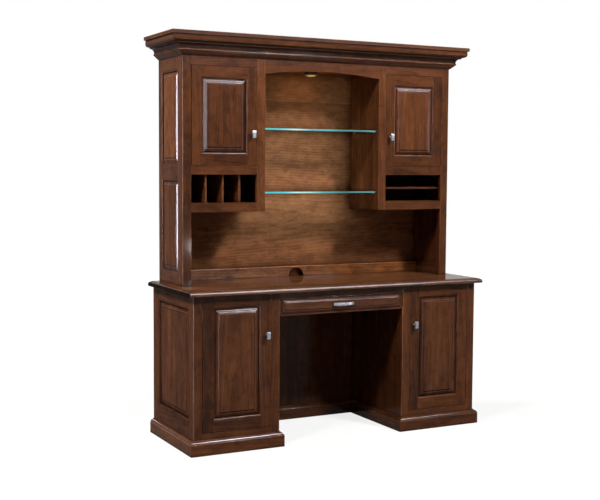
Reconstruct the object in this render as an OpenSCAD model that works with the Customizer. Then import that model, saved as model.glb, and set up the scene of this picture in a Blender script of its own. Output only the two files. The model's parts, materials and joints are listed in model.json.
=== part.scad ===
// Credenza desk with a hutch: two door pedestals, a kneehole with a shallow drawer, and an upper
// unit with two doors, mail slots, letter trays and an open centre with glass shelves.
// Millimetres. The floor is Z = 0, the front faces -Y, and the origin is below the middle of the box.

/* [Overall] */
// Width of the desk over its end frames
desk_w = 1620; // [1560:1:1760]
// Depth of the desk, from its front face to its back edge
desk_d = 550; // [520:1:640]
// Height of the worktop surface
desk_h = 787; // [770:1:820]
// Height of the whole piece, to the top of the crown
total_h = 2022; // [2000:1:2120]
// Width of the hutch over its end frames
hutch_w = 1554; // [1500:1:1560]
// Depth of the hutch, from its front face to its back edge
hutch_d = 330; // [300:1:360]

/* [Boards] */
// Thickness of the framing boards of ends, fronts and doors
board = 20; // [18:0.5:24]
// Thickness of shelves, decks and partitions
shelf_t = 18; // [15:0.5:22]
// Thickness of the plywood backs of the pedestals
ply_t = 6; // [4:0.5:9]
// Thickness of the back of the hutch
back_t = 12; // [6:0.5:14]
// Distance of the hutch back from the back edge of the end frames
back_inset = 22; // [15:1:30]
// Glue line between boards that are glued edge to edge
glue = 0.05; // [0.03:0.01:0.1]

/* [Worktop] */
// Thickness of the worktop
top_t = 25; // [20:0.5:32]
// Overhang of the worktop at each end
over_side = 29; // [24:1:45]
// Overhang of the worktop at the front
over_front = 32; // [30:1:50]
// Width of the moulded edge of the worktop
edge_w = 19; // [10:1:24]
// Square nose left under the moulded edge
nose_h = 11; // [5:0.5:14]

/* [Pedestals] */
// Clear width of the kneehole
knee_w = 712; // [660:1:760]
// Distance of the kneehole back from the front face
knee_d = 516; // [460:1:516]
// Width of the upright members of the face frames
ff_stile = 45; // [38:1:52]
// Height of the top of the rail below the desk doors
foot_rail_top = 104; // [96:1:120]
// Width of the rail below the desk doors
foot_rail_w = 60; // [40:1:70]
// Height of the moulded plinth
plinth_h = 74; // [60:1:90]
// Distance that the plinth stands out
plinth_out = 20; // [14:1:26]
// Width of the front upright of the desk end frames
end_front_stile = 42; // [36:1:60]
// Width of the back upright of the desk end frames
end_back_stile = 80; // [60:1:100]
// Width of the top rail of the desk end frames
end_top_rail = 62; // [45:1:80]
// Width of the bottom rail of the desk end frames, from the floor
end_low_rail = 158; // [120:1:170]
// Height of the adjustable shelf above the deck
desk_shelf_up = 290; // [200:1:400]
// Width of the stretchers below the worktop
stretcher_w = 60; // [40:1:80]

/* [Drawer] */
// Height of the rail above the drawer
apron_h = 24; // [18:1:40]
// Height of the drawer front
drawer_h = 91; // [80:1:110]
// Gap round the drawer front
drawer_gap = 2.5; // [1.5:0.5:4]
// Thickness of the boards of the drawer box
drawer_side_t = 12; // [10:0.5:15]
// Height of the drawer sides
drawer_side_h = 70; // [62:1:78]
// Thickness of the drawer bottom
drawer_floor_t = 6; // [4:0.5:8]
// Length of the drawer runners
runner_l = 450; // [350:5:460]
// Thickness of a runner, between the drawer side and the pedestal
runner_t = 12.7; // [12:0.1:14]
// Height of the outer member of a runner
runner_h = 45; // [40:1:50]
// Thickness of the steel of a runner
runner_steel = 1.2; // [1:0.1:1.5]
// Gap between the members of a runner, where the balls run
ball_gap = 0.8; // [0.5:0.1:0.9]

/* [Doors] */
// Gap between a door and its opening, on the three sides without hinges
door_gap = 2; // [1.5:0.5:3]
// Gap between a door and its opening, at the hinges
hinge_gap = 3; // [2.6:0.1:4]
// Width of the uprights of the desk doors
desk_door_stile = 54; // [46:1:66]
// Width of the rails of the desk doors
desk_door_rail = 56; // [46:1:70]
// Width of the uprights of the hutch doors
hutch_door_stile = 51; // [44:1:62]
// Width of the rails of the hutch doors
hutch_door_rail = 54; // [44:1:66]
// Width and depth of the moulding on the inner edges of frames
stick = 7; // [5:0.5:8]
// Depth of the small step at the start of that moulding
quirk = 1.2; // [0.6:0.1:2]
// Depth of the panel groove from the face
groove_d = 9; // [8.5:0.5:10]
// Thickness of the tongue of a panel, and width of its groove
tongue_t = 6; // [5:0.5:7]
// Depth of the panel groove behind the face edge of a frame
groove_in = 5; // [4:0.5:8]
// Depth of the field of a raised panel from the face of its frame
field_d = 1.5; // [0.5:0.5:3]
// Width of the raised border of a panel
raise_w = 38; // [30:1:44]

/* [Hinges, knobs and catches] */
// Height of a hinge
hinge_h = 50; // [40:1:60]
// Distance of a hinge from the top or bottom of its door
hinge_in = 65; // [50:1:110]
// Radius of a hinge pin
pin_r = 1.2; // [1:0.1:1.3]
// Radius of a hinge knuckle
knuckle_r = 2.4; // [2.2:0.1:2.5]
// Distance of the hinge axis in front of the face
pin_front = 2.3; // [2.2:0.1:3]
// Thickness of a hinge leaf
leaf_t = 1.2; // [0.8:0.1:1.2]
// Width of a hinge leaf
leaf_w = 16; // [12:1:17]
// Running clearance round a hinge pin
pin_fit = 0.05; // [0.02:0.01:0.09]
// Width of the head of a knob
knob_w = 20; // [16:1:26]
// Height of the head of a knob
knob_h = 36; // [28:1:42]
// Distance that a knob stands out
knob_out = 28; // [22:1:29]
// Distance of a knob from the free edge of its door
knob_in = 25; // [20:1:30]
// Distance of the knobs of the desk doors below the worktop
desk_knob_down = 205; // [150:1:400]
// Height of the knobs of the hutch doors above the bottom of their openings
hutch_knob_up = 156; // [80:1:240]
// Length of the bar of the drawer pull
pull_w = 116; // [96:1:140]
// Height of the bar of the drawer pull
pull_h = 14; // [10:1:18]
// Distance that the drawer pull stands out
pull_out = 28; // [24:1:29]
// Thickness of the bar of the drawer pull
pull_t = 6; // [4:0.5:8]
// Width of a magnetic catch
catch_w = 40; // [30:1:50]
// Depth of a magnetic catch
catch_d = 18; // [14:1:24]
// Height of a magnetic catch
catch_h = 13; // [10:1:16]
// Thickness of the strike plate on a door
strike_t = 1.2; // [0.8:0.1:1.5]

/* [Hutch] */
// Clear height below the side cabinets
work_clear = 363; // [340:1:380]
// Width of the rail below the slots
low_rail = 45; // [38:1:52]
// Height of the opening of the slots and trays
slot_h = 140; // [120:1:150]
// Width of the rail below the hutch doors
mid_rail = 45; // [38:1:52]
// Width of the top rail of the face frame, up to the roof
top_rail = 136; // [128:1:150]
// Clear width of the open centre
bay_w = 666; // [620:1:720]
// Width of the back upright of the hutch end frames
hutch_back_stile = 40; // [36:1:60]
// Width of the front upright of the hutch end frames
hutch_front_stile = 46; // [38:1:56]
// Width of the bottom rail of the hutch end frames
hutch_low_rail = 58; // [45:1:70]
// Height of the middle rail of the hutch end frames above the worktop
hutch_mid_rail_up = 520; // [480:1:540]
// Width of the middle rail of the hutch end frames
hutch_mid_rail = 76; // [60:1:90]
// Width of the top rail of the hutch end frames
hutch_end_top_rail = 158; // [130:1:170]
// Drop of the ends of the arched rail below the top of the door openings
arch_drop = 27; // [15:1:40]
// Rise of the arch in the middle
arch_rise = 22; // [10:1:28]
// Thickness of the dividers between the mail slots
slot_divider_t = 10; // [8:0.5:12]
// Number of dividers between the mail slots
slot_dividers = 3; // [1:1:5]
// Set-back of dividers and trays behind the face frame
slot_setback = 3; // [1:1:10]
// Height of the shelf in each door cabinet above its deck
cabinet_shelf_up = 236; // [180:1:320]

/* [Glass shelves and light] */
// Thickness of the glass shelves
glass_t = 8; // [6:0.5:10]
// Set-back of the glass behind the front face
glass_setback = 26; // [24:1:50]
// Height of the lower glass shelf above the worktop
glass_low = 453; // [400:1:500]
// Height of the upper glass shelf above the worktop
glass_high = 775; // [700:1:840]
// Height of the spare row of pin holes above the worktop
spare_holes_up = 558; // [520:1:600]
// Radius of a shelf pin
shelf_pin_r = 2.5; // [2:0.1:3]
// Depth of a shelf pin hole
pin_hole_d = 9; // [7:0.5:11]
// Length of a shelf pin that stands out of its hole
pin_stand = 9; // [7:0.5:12]
// Clearance round a shelf pin or dowel
pin_clear = 0.05; // [0.02:0.01:0.1]
// Distance of the front pin holes from the front face
pin_row = 45; // [40:1:60]
// Radius of the puck light
puck_r = 36; // [30:1:45]
// Thickness of the puck light
puck_h = 16; // [12:1:20]
// Depth of the lens below the trim ring
lens_drop = 8; // [5:0.5:10]
// Distance of the puck light behind the front face
puck_in = 145; // [100:1:200]

/* [Cable channel] */
// Height of the cable channel cover
channel_h = 52; // [50:1:70]
// Distance of the cover in front of the hutch back
channel_d = 24; // [18:1:32]
// Thickness of the boards of the cover
channel_t = 9; // [6:0.5:10]
// Radius of the half-round cable notch
notch_r = 45; // [25:1:46]
// Distance of the notch to the left of the centre line
notch_off = 16; // [0:1:60]
// Width of the cable outlet in the hutch back
outlet_w = 120; // [80:1:160]
// Height of the cable outlet
outlet_h = 30; // [20:1:34]
// Distance of the middle of the outlet from the centre line
outlet_x = 170; // [130:1:260]

/* [Crown] */
// Height of the crown
crown_h = 111; // [100:1:116]
// Distance that the crown stands out
crown_out = 79; // [70:1:86]
// Width and height of the bevel at the foot of the crown
crown_bevel = 19; // [16:1:20]
// Radius of the bead above that bevel
bead_r = 6; // [4:0.5:7]
// Radius of the cove
cove_r = 20; // [16:1:21]
// Height of the small square member above the cove
crown_fillet = 5; // [3:0.5:7]
// Height of the quarter round below the top member
ovolo_h = 14; // [10:1:18]
// Height of the top member
crown_cap = 18; // [14:1:20]
// Distance of the roof board below the top of the crown
roof_drop = 19; // [10:1:24]

/* [Hidden] */

wood = [0.36, 0.2, 0.11];
wood_light = [0.5, 0.3, 0.16];
wood_dark = [0.2, 0.11, 0.07];
nickel = [0.75, 0.75, 0.74];
steel = [0.6, 0.61, 0.63];
bronze = [0.2, 0.15, 0.12];
glass_blue = [0.45, 0.85, 0.9, 0.5];
black_plastic = [0.08, 0.08, 0.08];
lamp_white = [1, 0.95, 0.8];

arc_n = 5;
arch_n = 24;
round_fn = 48;

// Main planes
half_desk = desk_w / 2;
half_hutch = hutch_w / 2;
half_knee = knee_w / 2;
half_bay = bay_w / 2;
top_d = desk_d + over_front;
desk_front = over_front - top_d / 2;
rear = top_d / 2;
hutch_front = rear - hutch_d;
under_top = desk_h - top_t;
knee_back_y = desk_front + knee_d;
knee_back_t = board - 2;

// Openings of the desk doors, on the right-hand side
desk_open_in = half_knee + ff_stile;
desk_open_out = half_desk - ff_stile;
deck_back = rear - ply_t - 2;

// Drawer
drawer_top = under_top - apron_h - drawer_gap;
drawer_z = drawer_top - drawer_h;
drawer_half = half_knee - drawer_gap;
box_half = half_knee - runner_t;
box_z = drawer_z + 10;
box_l = runner_l - 20;
runner_y = desk_front + board + 2;
runner_z = box_z + drawer_side_h / 2;
drawer_floor_z = box_z + 8;
floor_groove = 5;

// Levels of the hutch
slot_rail_z = desk_h + work_clear;
slot_z = slot_rail_z + low_rail;
mid_rail_z = slot_z + slot_h;
cabinet_z = mid_rail_z + mid_rail;
carcass_top = total_h - roof_drop;
cabinet_top = carcass_top - top_rail;
ceiling_z = cabinet_top + 5;
hutch_back_y = rear - back_inset - back_t;
hutch_open_in = half_bay + ff_stile;
hutch_open_out = half_hutch - ff_stile;
channel_y = hutch_back_y - channel_d;

// Hinges
hinge_y = -pin_front;
plate_y = knuckle_r + 0.35;
knuckle_gap = 0.2;
knuckle_third = hinge_h / 3;
pin_head_r = 2.1;
pin_head_h = 1;

// Outline helpers

function rev(p) = [for (i = [len(p) - 1 : -1 : 0]) p[i]];
function arc(cx, cy, rx, ry, a0, a1, n) =
  [for (i = [0 : n]) let (a = a0 + (a1 - a0) * i / n) [cx + rx * cos(a), cy + ry * sin(a)]];

// Moulded inner edge of a frame member: s runs towards the panel, d down from the face
function round_edge() = [for (i = [0 : arc_n]) let (a = 90 * i / arc_n)
  [stick * sin(a), quirk + (stick - quirk) * (1 - cos(a))]];
function grooved_edge() = concat([[0, 0]], round_edge(), [
  [stick, groove_d], [-groove_in, groove_d],
  [-groove_in, groove_d + tongue_t], [stick, groove_d + tongue_t], [stick, board]]);
function coping_edge() = concat([[0, -1], [0, 0]], round_edge(), [[stick, board + 1]]);
function square_edge() = [[0, 0], [0, board]];

// Raised border of a panel: u from the face edge of the frame, d down from the face
tongue_u = 1 - groove_in;
raise_start = stick + 2;
step_u = raise_w * 0.7;
panel_back_d = groove_d + tongue_t;
step_d = field_d + 3.1;
function raise_edge() = [
  [tongue_u, groove_d], [raise_start, groove_d], [raise_start + 1, groove_d - 0.8],
  [step_u, step_d], [step_u + 3, step_d], [step_u + 4.2, step_d - 1.1],
  [raise_w - 4, field_d + 0.5], [raise_w, field_d]];

module along_x(len) rotate([90, 0, 90]) linear_extrude(len) children();
module along_y(len) translate([0, len, 0]) rotate([90, 0, 0]) linear_extrude(len) children();
module on_side(s) {
  if (s < 0) mirror([1, 0, 0]) children();
  else children();
}
module both_sides() {
  children();
  mirror([1, 0, 0]) children();
}

// Frame and panel work. A frame lies in X and Z, with its face at y = 0

module stile(w, h) linear_extrude(h)
  polygon(concat([[-w, 0]], grooved_edge(), [[-w, board]]));

module coping(h) translate([glue, 0, -1]) linear_extrude(h + 2)
  polygon(concat([[-2 * stick, -1]], coping_edge(), [[-2 * stick, board + 1]]));

function rail_outline(w, up, down) = concat(
  [for (q = up) [q[1], w + q[0]]], rev([for (q = down) [q[1], -q[0]]]));

module rail(x0, x1, z, w, h, up, down) {
  tenon_low = down == square_edge() ? 0 : groove_in + 1;
  tenon_high = up == square_edge() ? 0 : groove_in + 1;
  difference() {
    translate([x0, 0, z]) along_x(x1 - x0) polygon(rail_outline(w, up, down));
    translate([x0, 0, 0]) coping(h);
    translate([x1, 0, 0]) mirror([1, 0, 0]) coping(h);
  }
  translate([x0 - groove_in + 1, groove_d + glue, z + tenon_low])
    cube([x1 - x0 + 2 * groove_in - 2, tongue_t - 2 * glue, w - tenon_low - tenon_high]);
}

// mids lists the height and the width of each middle rail
module frame(w, h, left, right, low, top, mids = []) {
  translate([left, 0, 0]) stile(left, h);
  translate([w - right, 0, 0]) mirror([1, 0, 0]) stile(right, h);
  rail(left, w - right, 0, low, h, grooved_edge(), square_edge());
  rail(left, w - right, h - top, top, h, square_edge(), grooved_edge());
  for (m = mids) rail(left, w - right, m[0], m[1], h, grooved_edge(), grooved_edge());
}

// Slab whose four edges follow one outline, w wide and h high
module edged_slab(w, h, edge, back) intersection() {
  translate([0, 0, edge[0][0] - 1]) linear_extrude(h - 2 * edge[0][0] + 2)
    polygon(concat([[edge[0][0], back]], edge,
      rev([for (q = edge) [w - q[0], q[1]]]), [[w - edge[0][0], back]]));
  translate([edge[0][0] - 1, 0, 0]) along_x(w - 2 * edge[0][0] + 2)
    polygon(concat([[back, edge[0][0]]], [for (q = edge) [q[1], q[0]]],
      rev([for (q = edge) [q[1], h - q[0]]]), [[back, h - edge[0][0]]]));
}
module raised_panel(w, h) edged_slab(w, h, raise_edge(), panel_back_d);

// Puts a frame that lies in X and Z on the left or right end of a case
module on_end(s, half, y) {
  if (s < 0) translate([-half, y, 0]) mirror([1, -1, 0]) children();
  else translate([half, y, 0]) rotate([0, 0, 90]) children();
}

// Mouldings

plinth_round = plinth_out - 6;
function plinth_outline() = concat([[0, 0], [plinth_out, 0], [plinth_out, plinth_h - 19]],
  arc(plinth_out - plinth_round - 1.5, plinth_h - 18, plinth_round, plinth_round, 0, 90, arc_n),
  [[plinth_out - plinth_round - 1.5, plinth_h], [0, plinth_h]]);

// From the foot up: bevel, bead, cove, small square member, quarter round with a flat band above
// it, a quirk, and the top member
bead_z = crown_bevel + bead_r;
cove_z = bead_z + bead_r + 2;
cap_z = crown_h - crown_cap;
cap_in = 8;
crown_quirk = 2.5;
cove_x = 6 + crown_bevel + cove_r;
fillet_z = cove_z + cove_r + 0.5;
fillet_x = cove_x + 3;
ovolo_z = fillet_z + crown_fillet + 1;
band_x = crown_out - cap_in;
function crown_outline() = concat(
  [[0, 0], [3, 0], [3 + crown_bevel, crown_bevel - 2]],
  arc(3 + crown_bevel, bead_z, bead_r, bead_r, -80, 70, arc_n),
  arc(cove_x, cove_z, cove_r, cove_r, 180, 95, arc_n),
  [[fillet_x, fillet_z], [fillet_x, fillet_z + crown_fillet]],
  arc(fillet_x + 3, ovolo_z + ovolo_h, band_x - fillet_x - 3, ovolo_h, -90, 0, arc_n),
  [[band_x, cap_z - 3], [band_x - crown_quirk, cap_z - 3], [band_x - crown_quirk, cap_z],
   [crown_out, cap_z], [crown_out, crown_h - 2],
   [crown_out - 2, crown_h], [0, crown_h]]);

module front_run(outline, x0, x1, y, reach, corner0, corner1) intersection() {
  translate([min(x0, x0 - corner0 * reach) - 1, y, 0])
    along_x(x1 - x0 + 2 * reach + 2) polygon([for (q = outline) [-q[0], q[1]]]);
  translate([0, 0, -1]) linear_extrude(total_h) polygon([
    [x0, y], [x0 - corner0 * reach, y - reach], [x1 + corner1 * reach, y - reach], [x1, y]]);
}

// Run on the face x = x, standing out towards +X, from the mitre at y0 to y1
module side_run(outline, x, y0, y1, reach, corner1) intersection() {
  translate([x, y0 - reach - 1, 0]) along_y(y1 - y0 + reach + 2) polygon(outline);
  translate([0, 0, -1]) linear_extrude(total_h) polygon([
    [x, y0 + glue], [x + reach, y0 - reach + glue], [x + reach, y1 + corner1 * reach - glue],
    [x, y1 - glue]]);
}

// Desk

end_frame_w = rear - desk_front - board;

module desk_end(s) color(wood) on_end(s, half_desk, desk_front + board) difference() {
  frame(end_frame_w, under_top, end_front_stile, end_back_stile, end_low_rail, end_top_rail);
  for (x = [shelf_pin_front, shelf_pin_back])
    translate([x - desk_front - board, board - pin_hole_d, shelf_pin_z])
      rotate([-90, 0, 0]) cylinder(r = shelf_pin_r + pin_clear, h = pin_hole_d + 1, $fn = round_fn);
}
module desk_left_end_frame() desk_end(-1);
module desk_right_end_frame() desk_end(1);

module desk_end_panels() color(wood) for (s = [-1, 1])
  on_end(s, half_desk, desk_front + board) translate([end_front_stile, 0, end_low_rail])
    raised_panel(end_frame_w - end_front_stile - end_back_stile,
      under_top - end_low_rail - end_top_rail);

module pedestal_face_frame(s) color(wood) on_side(s) translate([0, desk_front, 0]) {
  translate([half_knee, 0, 0]) cube([ff_stile, board, under_top]);
  translate([desk_open_out, 0, 0]) cube([ff_stile, board, under_top]);
  translate([desk_open_in + glue, 0, foot_rail_top - foot_rail_w])
    cube([desk_open_out - desk_open_in - 2 * glue, board, foot_rail_w]);
}
module left_pedestal_face_frame() pedestal_face_frame(-1);
module right_pedestal_face_frame() pedestal_face_frame(1);

shelf_pin_front = desk_front + board + end_front_stile / 2 + 4;
shelf_pin_back = rear - end_back_stile / 2;
desk_shelf_z = foot_rail_top + desk_shelf_up;
shelf_pin_z = desk_shelf_z - shelf_pin_r;
inner_side_in = half_knee + board;
end_in = half_desk - board;

module kneehole_sides() color(wood) both_sides() difference() {
  translate([half_knee, desk_front + board, 0]) cube([board, rear - desk_front - board, under_top]);
  for (y = [shelf_pin_front, shelf_pin_back])
    translate([inner_side_in - pin_hole_d, y, shelf_pin_z])
      rotate([0, 90, 0]) cylinder(r = shelf_pin_r + pin_clear, h = pin_hole_d + 1, $fn = round_fn);
}

module pedestal_decks() color(wood_light) both_sides()
  translate([inner_side_in, desk_front + board, foot_rail_top - shelf_t])
    cube([end_in - inner_side_in, deck_back - desk_front - board, shelf_t]);

module pedestal_stretchers() color(wood_light) both_sides() {
  translate([inner_side_in, desk_front + board + 4, under_top - shelf_t])
    cube([end_in - inner_side_in, stretcher_w, shelf_t]);
  translate([inner_side_in, deck_back - stretcher_w, under_top - shelf_t])
    cube([end_in - inner_side_in, stretcher_w, shelf_t]);
}

module pedestal_shelves() color(wood_light) both_sides()
  translate([inner_side_in + 1, shelf_pin_front - 15, desk_shelf_z])
    cube([end_in - inner_side_in - 2, deck_back - shelf_pin_front + 10, shelf_t]);

module shelf_pin() cylinder(r = shelf_pin_r, h = pin_hole_d + pin_stand, $fn = round_fn);

glass_z = [desk_h + glass_low, desk_h + glass_high];
glass_pin_y = [hutch_front + pin_row, hutch_back_y - pin_row];

module shelf_pins() color(nickel) {
  both_sides() for (y = [shelf_pin_front, shelf_pin_back]) {
    translate([inner_side_in - pin_hole_d, y, shelf_pin_z]) rotate([0, 90, 0]) shelf_pin();
    translate([end_in + pin_hole_d, y, shelf_pin_z]) rotate([0, -90, 0]) shelf_pin();
  }
  both_sides() for (z = glass_z, y = glass_pin_y)
    translate([half_bay + pin_hole_d, y, z - shelf_pin_r]) rotate([0, -90, 0]) shelf_pin();
}

module pedestal_backs() color(wood_dark) both_sides()
  translate([inner_side_in, deck_back, foot_rail_top - foot_rail_w])
    cube([end_in - inner_side_in, ply_t, under_top - foot_rail_top + foot_rail_w]);

module kneehole_back() color(wood_dark)
  translate([-half_knee, knee_back_y, 0]) cube([knee_w, knee_back_t, under_top]);

module drawer_apron() color(wood)
  translate([-half_knee, desk_front, under_top - apron_h]) cube([knee_w, board, apron_h]);

module plinth() color(wood) {
  both_sides() {
    front_run(plinth_outline(), half_knee, half_desk, desk_front, plinth_out, 1, 1);
    side_run(plinth_outline(), half_desk, desk_front, rear, plinth_out, 0);
    mirror([1, 0, 0]) side_run(plinth_outline(), -half_knee, desk_front, knee_back_y, plinth_out, -1);
  }
  front_run(plinth_outline(), -half_knee, half_knee, knee_back_y, plinth_out, -1, -1);
}

dowel_r = 4;
dowel_half = 15;
dowel_behind = 22;
dowel_before = 12;
dowel_at = [[half_hutch - board / 2, hutch_front + board + dowel_behind],
  [half_hutch - board / 2, rear - dowel_before]];

worktop_half = half_desk + over_side;
round_h = top_t - nose_h - 1.5;
function top_edge() = concat([[3, 0], [0, 3]],
  [for (q = arc(edge_w, nose_h, -edge_w, round_h, 0, 90, arc_n + 1)) q],
  [[edge_w, top_t]]);

module worktop() color(wood) difference() {
  translate([0, 0, under_top]) intersection() {
    translate([0, -rear, 0]) along_y(top_d) polygon(concat(
      [for (q = top_edge()) [q[0] - worktop_half, q[1]]],
      rev([for (q = top_edge()) [worktop_half - q[0], q[1]]])));
    translate([-worktop_half - 1, -rear, 0]) along_x(2 * worktop_half + 2) polygon(concat(
      top_edge(), [[top_d, top_t], [top_d, 0]]));
  }
  both_sides() for (p = dowel_at) translate([p[0], p[1], desk_h - dowel_half])
    cylinder(r = dowel_r + pin_clear, h = dowel_half + 1, $fn = round_fn);
}

// Drawer

function drawer_edge() = [[0, 7], [8, 6.4], [9, 5], [22, 2.6], [24, 2.6], [25, 1.2], [29, 0]];

module drawer_front() color(wood)
  translate([-drawer_half, desk_front, drawer_z])
    edged_slab(2 * drawer_half, drawer_h, drawer_edge(), board);

box_y = desk_front + board;
floor_half = box_half - drawer_side_t + floor_groove;

module drawer_box() color(wood_light) difference() {
  translate([0, box_y, box_z]) {
    both_sides() translate([box_half - drawer_side_t, 0, 0])
      cube([drawer_side_t, box_l, drawer_side_h]);
    for (y = [0, box_l - drawer_side_t])
      translate([-box_half + drawer_side_t + glue, y, 0])
        cube([2 * (box_half - drawer_side_t - glue), drawer_side_t, drawer_side_h]);
  }
  drawer_floor();
}
module drawer_floor() translate([-floor_half, box_y + drawer_side_t - floor_groove, drawer_floor_z])
  cube([2 * floor_half, box_l - 2 * drawer_side_t + 2 * floor_groove, drawer_floor_t]);
module drawer_bottom() color(wood_light) drawer_floor();

pull_rise = pull_out - 10;
pull_bend = (pow(pull_w / 2, 2) + pow(pull_rise, 2)) / (2 * pull_rise);
pull_fn = 240;

module pull_disc(r) translate([0, pull_bend - pull_out]) circle(r = r, $fn = pull_fn);
module pull_outline() {
  intersection() {
    difference() {
      pull_disc(pull_bend);
      pull_disc(pull_bend - pull_t);
    }
    translate([-pull_w / 2, -pull_out - 1]) square([pull_w, pull_out + 1]);
  }
  for (s = [0, 1]) mirror([s, 0]) intersection() {
    pull_disc(pull_bend);
    translate([pull_w / 2 - 10, -pull_out]) square([10, pull_out]);
  }
}
module drawer_pull() color(nickel)
  translate([0, desk_front, drawer_z + drawer_h / 2 - pull_h / 2])
    linear_extrude(pull_h) pull_outline();

// Runner section, seen along the drawer: x from the drawer side, z about the middle. The web is
// at x1 and the lips reach to x0
module channel(x0, x1, h) {
  web = x1 - runner_steel * sign(x1 - x0);
  lip = h / 2 - runner_steel;
  polygon([[x0, -h / 2], [x1, -h / 2], [x1, h / 2], [x0, h / 2],
    [x0, lip], [web, lip], [web, -lip], [x0, -lip]]);
}
middle_h = runner_h - 2 * (runner_steel + ball_gap);
inner_h = middle_h - 2 * (runner_steel + ball_gap);
middle_l = runner_l - 10;
middle_x0 = 2 * runner_steel;
middle_x1 = runner_t - runner_steel - 0.6;

module runner_at(s) on_side(s) translate([box_half, 0, runner_z]) children();

module drawer_runner_outers() color(steel) for (s = [-1, 1]) runner_at(s)
  translate([0, runner_y, 0]) along_y(runner_l) channel(3, runner_t, runner_h);

module runner_middle(s) color(steel) runner_at(s)
  translate([0, runner_y + 2, 0]) along_y(middle_l) channel(middle_x0, middle_x1, middle_h);
module left_runner_middle() runner_middle(-1);
module right_runner_middle() runner_middle(1);

module drawer_runner_inners() color(steel) for (s = [-1, 1]) runner_at(s)
  translate([0, box_y + 2, 0]) along_y(box_l - 4)
    channel(middle_x1 - runner_steel - 0.6, 0, inner_h);

// Hinges. The axis is x = 0, y = 0; the door lies towards +X and the frame towards -X

module leaf(door) {
  x0 = door ? hinge_gap / 2 - leaf_t : -hinge_gap / 2;
  own = door ? [[knuckle_third + knuckle_gap, 2 * knuckle_third - knuckle_gap]]
             : [[0, knuckle_third], [2 * knuckle_third, hinge_h]];
  difference() {
    union() {
      translate([x0, plate_y, 0]) cube([leaf_t, leaf_w, hinge_h]);
      for (k = own) translate([0, 0, k[0]]) {
        cylinder(r = knuckle_r, h = k[1] - k[0], $fn = round_fn);
        translate([x0, 0, 0]) cube([leaf_t, plate_y + 1, k[1] - k[0]]);
      }
    }
    translate([0, 0, -1]) cylinder(r = pin_r + pin_fit, h = hinge_h + 2, $fn = round_fn);
  }
}
module hinge_pin() {
  cylinder(r = pin_r, h = hinge_h, $fn = round_fn);
  translate([0, 0, hinge_h]) cylinder(r = pin_head_r, h = pin_head_h, $fn = round_fn);
}

// A door: the free edge, hinge edge, bottom, top and face of its opening, for the right-hand side
desk_opening = [desk_open_in, desk_open_out, foot_rail_top, under_top, desk_front];
hutch_opening = [hutch_open_in, hutch_open_out, cabinet_z, cabinet_top, hutch_front];
function door_w(o) = o[1] - o[0] - door_gap - hinge_gap;
function door_h(o) = o[3] - o[2] - 2 * door_gap;
function door_x(o) = o[0] + door_gap;
function door_z(o) = o[2] + door_gap;
function hinge_z(o) = [door_z(o) + hinge_in, door_z(o) + door_h(o) - hinge_in - hinge_h];

module at_door(s, o) on_side(s) translate([door_x(o), o[4], door_z(o)]) children();
module at_hinges(s, o) on_side(s) for (z = hinge_z(o))
  translate([o[1] - hinge_gap / 2, o[4] + hinge_y, z]) mirror([1, 0, 0]) children();

module door_frame(s, o, stile_w, rail_w) color(wood) at_door(s, o)
  frame(door_w(o), door_h(o), stile_w, stile_w, rail_w, rail_w);
module door_panel(s, o, stile_w, rail_w) color(wood) at_door(s, o)
  translate([stile_w, 0, rail_w])
    raised_panel(door_w(o) - 2 * stile_w, door_h(o) - 2 * rail_w);

knob_head = 9;
module rounded(w, h, r) {
  translate([-w / 2 + r, -h / 2]) square([w - 2 * r, h]);
  translate([-w / 2, -h / 2 + r]) square([w, h - 2 * r]);
  for (x = [r - w / 2, w / 2 - r], z = [r - h / 2, h / 2 - r])
    translate([x, z]) circle(r = r, $fn = round_fn);
}
module door_knob(s, o, z) color(nickel) on_side(s)
  translate([door_x(o) + knob_in, o[4], z]) {
    rotate([90, 0, 0]) cylinder(r = 8, h = 2.5, $fn = round_fn);
    rotate([90, 0, 0]) cylinder(r = 5, h = knob_out - 2, $fn = round_fn);
    translate([0, -knob_out + 2, 0]) along_y(knob_head - 2) rounded(knob_w, knob_h, 3);
    translate([0, -knob_out, 0]) along_y(2) rounded(knob_w - 3, knob_h - 3, 2);
  }

catch_x = 46;
strike_w = 30;
module door_fittings(s, o) color(bronze) {
  at_hinges(s, o) leaf(true);
  at_door(s, o) translate([catch_x - strike_w / 2, board, 1])
    cube([strike_w, strike_t, catch_h - door_gap - 1]);
}

desk_knob_z = under_top - desk_knob_down;
module left_desk_door_frame() door_frame(-1, desk_opening, desk_door_stile, desk_door_rail);
module left_desk_door_panel() door_panel(-1, desk_opening, desk_door_stile, desk_door_rail);
module left_desk_door_knob() door_knob(-1, desk_opening, desk_knob_z);
module left_desk_door_fittings() door_fittings(-1, desk_opening);
module right_desk_door_frame() door_frame(1, desk_opening, desk_door_stile, desk_door_rail);
module right_desk_door_panel() door_panel(1, desk_opening, desk_door_stile, desk_door_rail);
module right_desk_door_knob() door_knob(1, desk_opening, desk_knob_z);
module right_desk_door_fittings() door_fittings(1, desk_opening);

hutch_knob_z = cabinet_z + hutch_knob_up;
module left_hutch_door_frame() door_frame(-1, hutch_opening, hutch_door_stile, hutch_door_rail);
module left_hutch_door_panel() door_panel(-1, hutch_opening, hutch_door_stile, hutch_door_rail);
module left_hutch_door_knob() door_knob(-1, hutch_opening, hutch_knob_z);
module left_hutch_door_fittings() door_fittings(-1, hutch_opening);
module right_hutch_door_frame() door_frame(1, hutch_opening, hutch_door_stile, hutch_door_rail);
module right_hutch_door_panel() door_panel(1, hutch_opening, hutch_door_stile, hutch_door_rail);
module right_hutch_door_knob() door_knob(1, hutch_opening, hutch_knob_z);
module right_hutch_door_fittings() door_fittings(1, hutch_opening);

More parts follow.
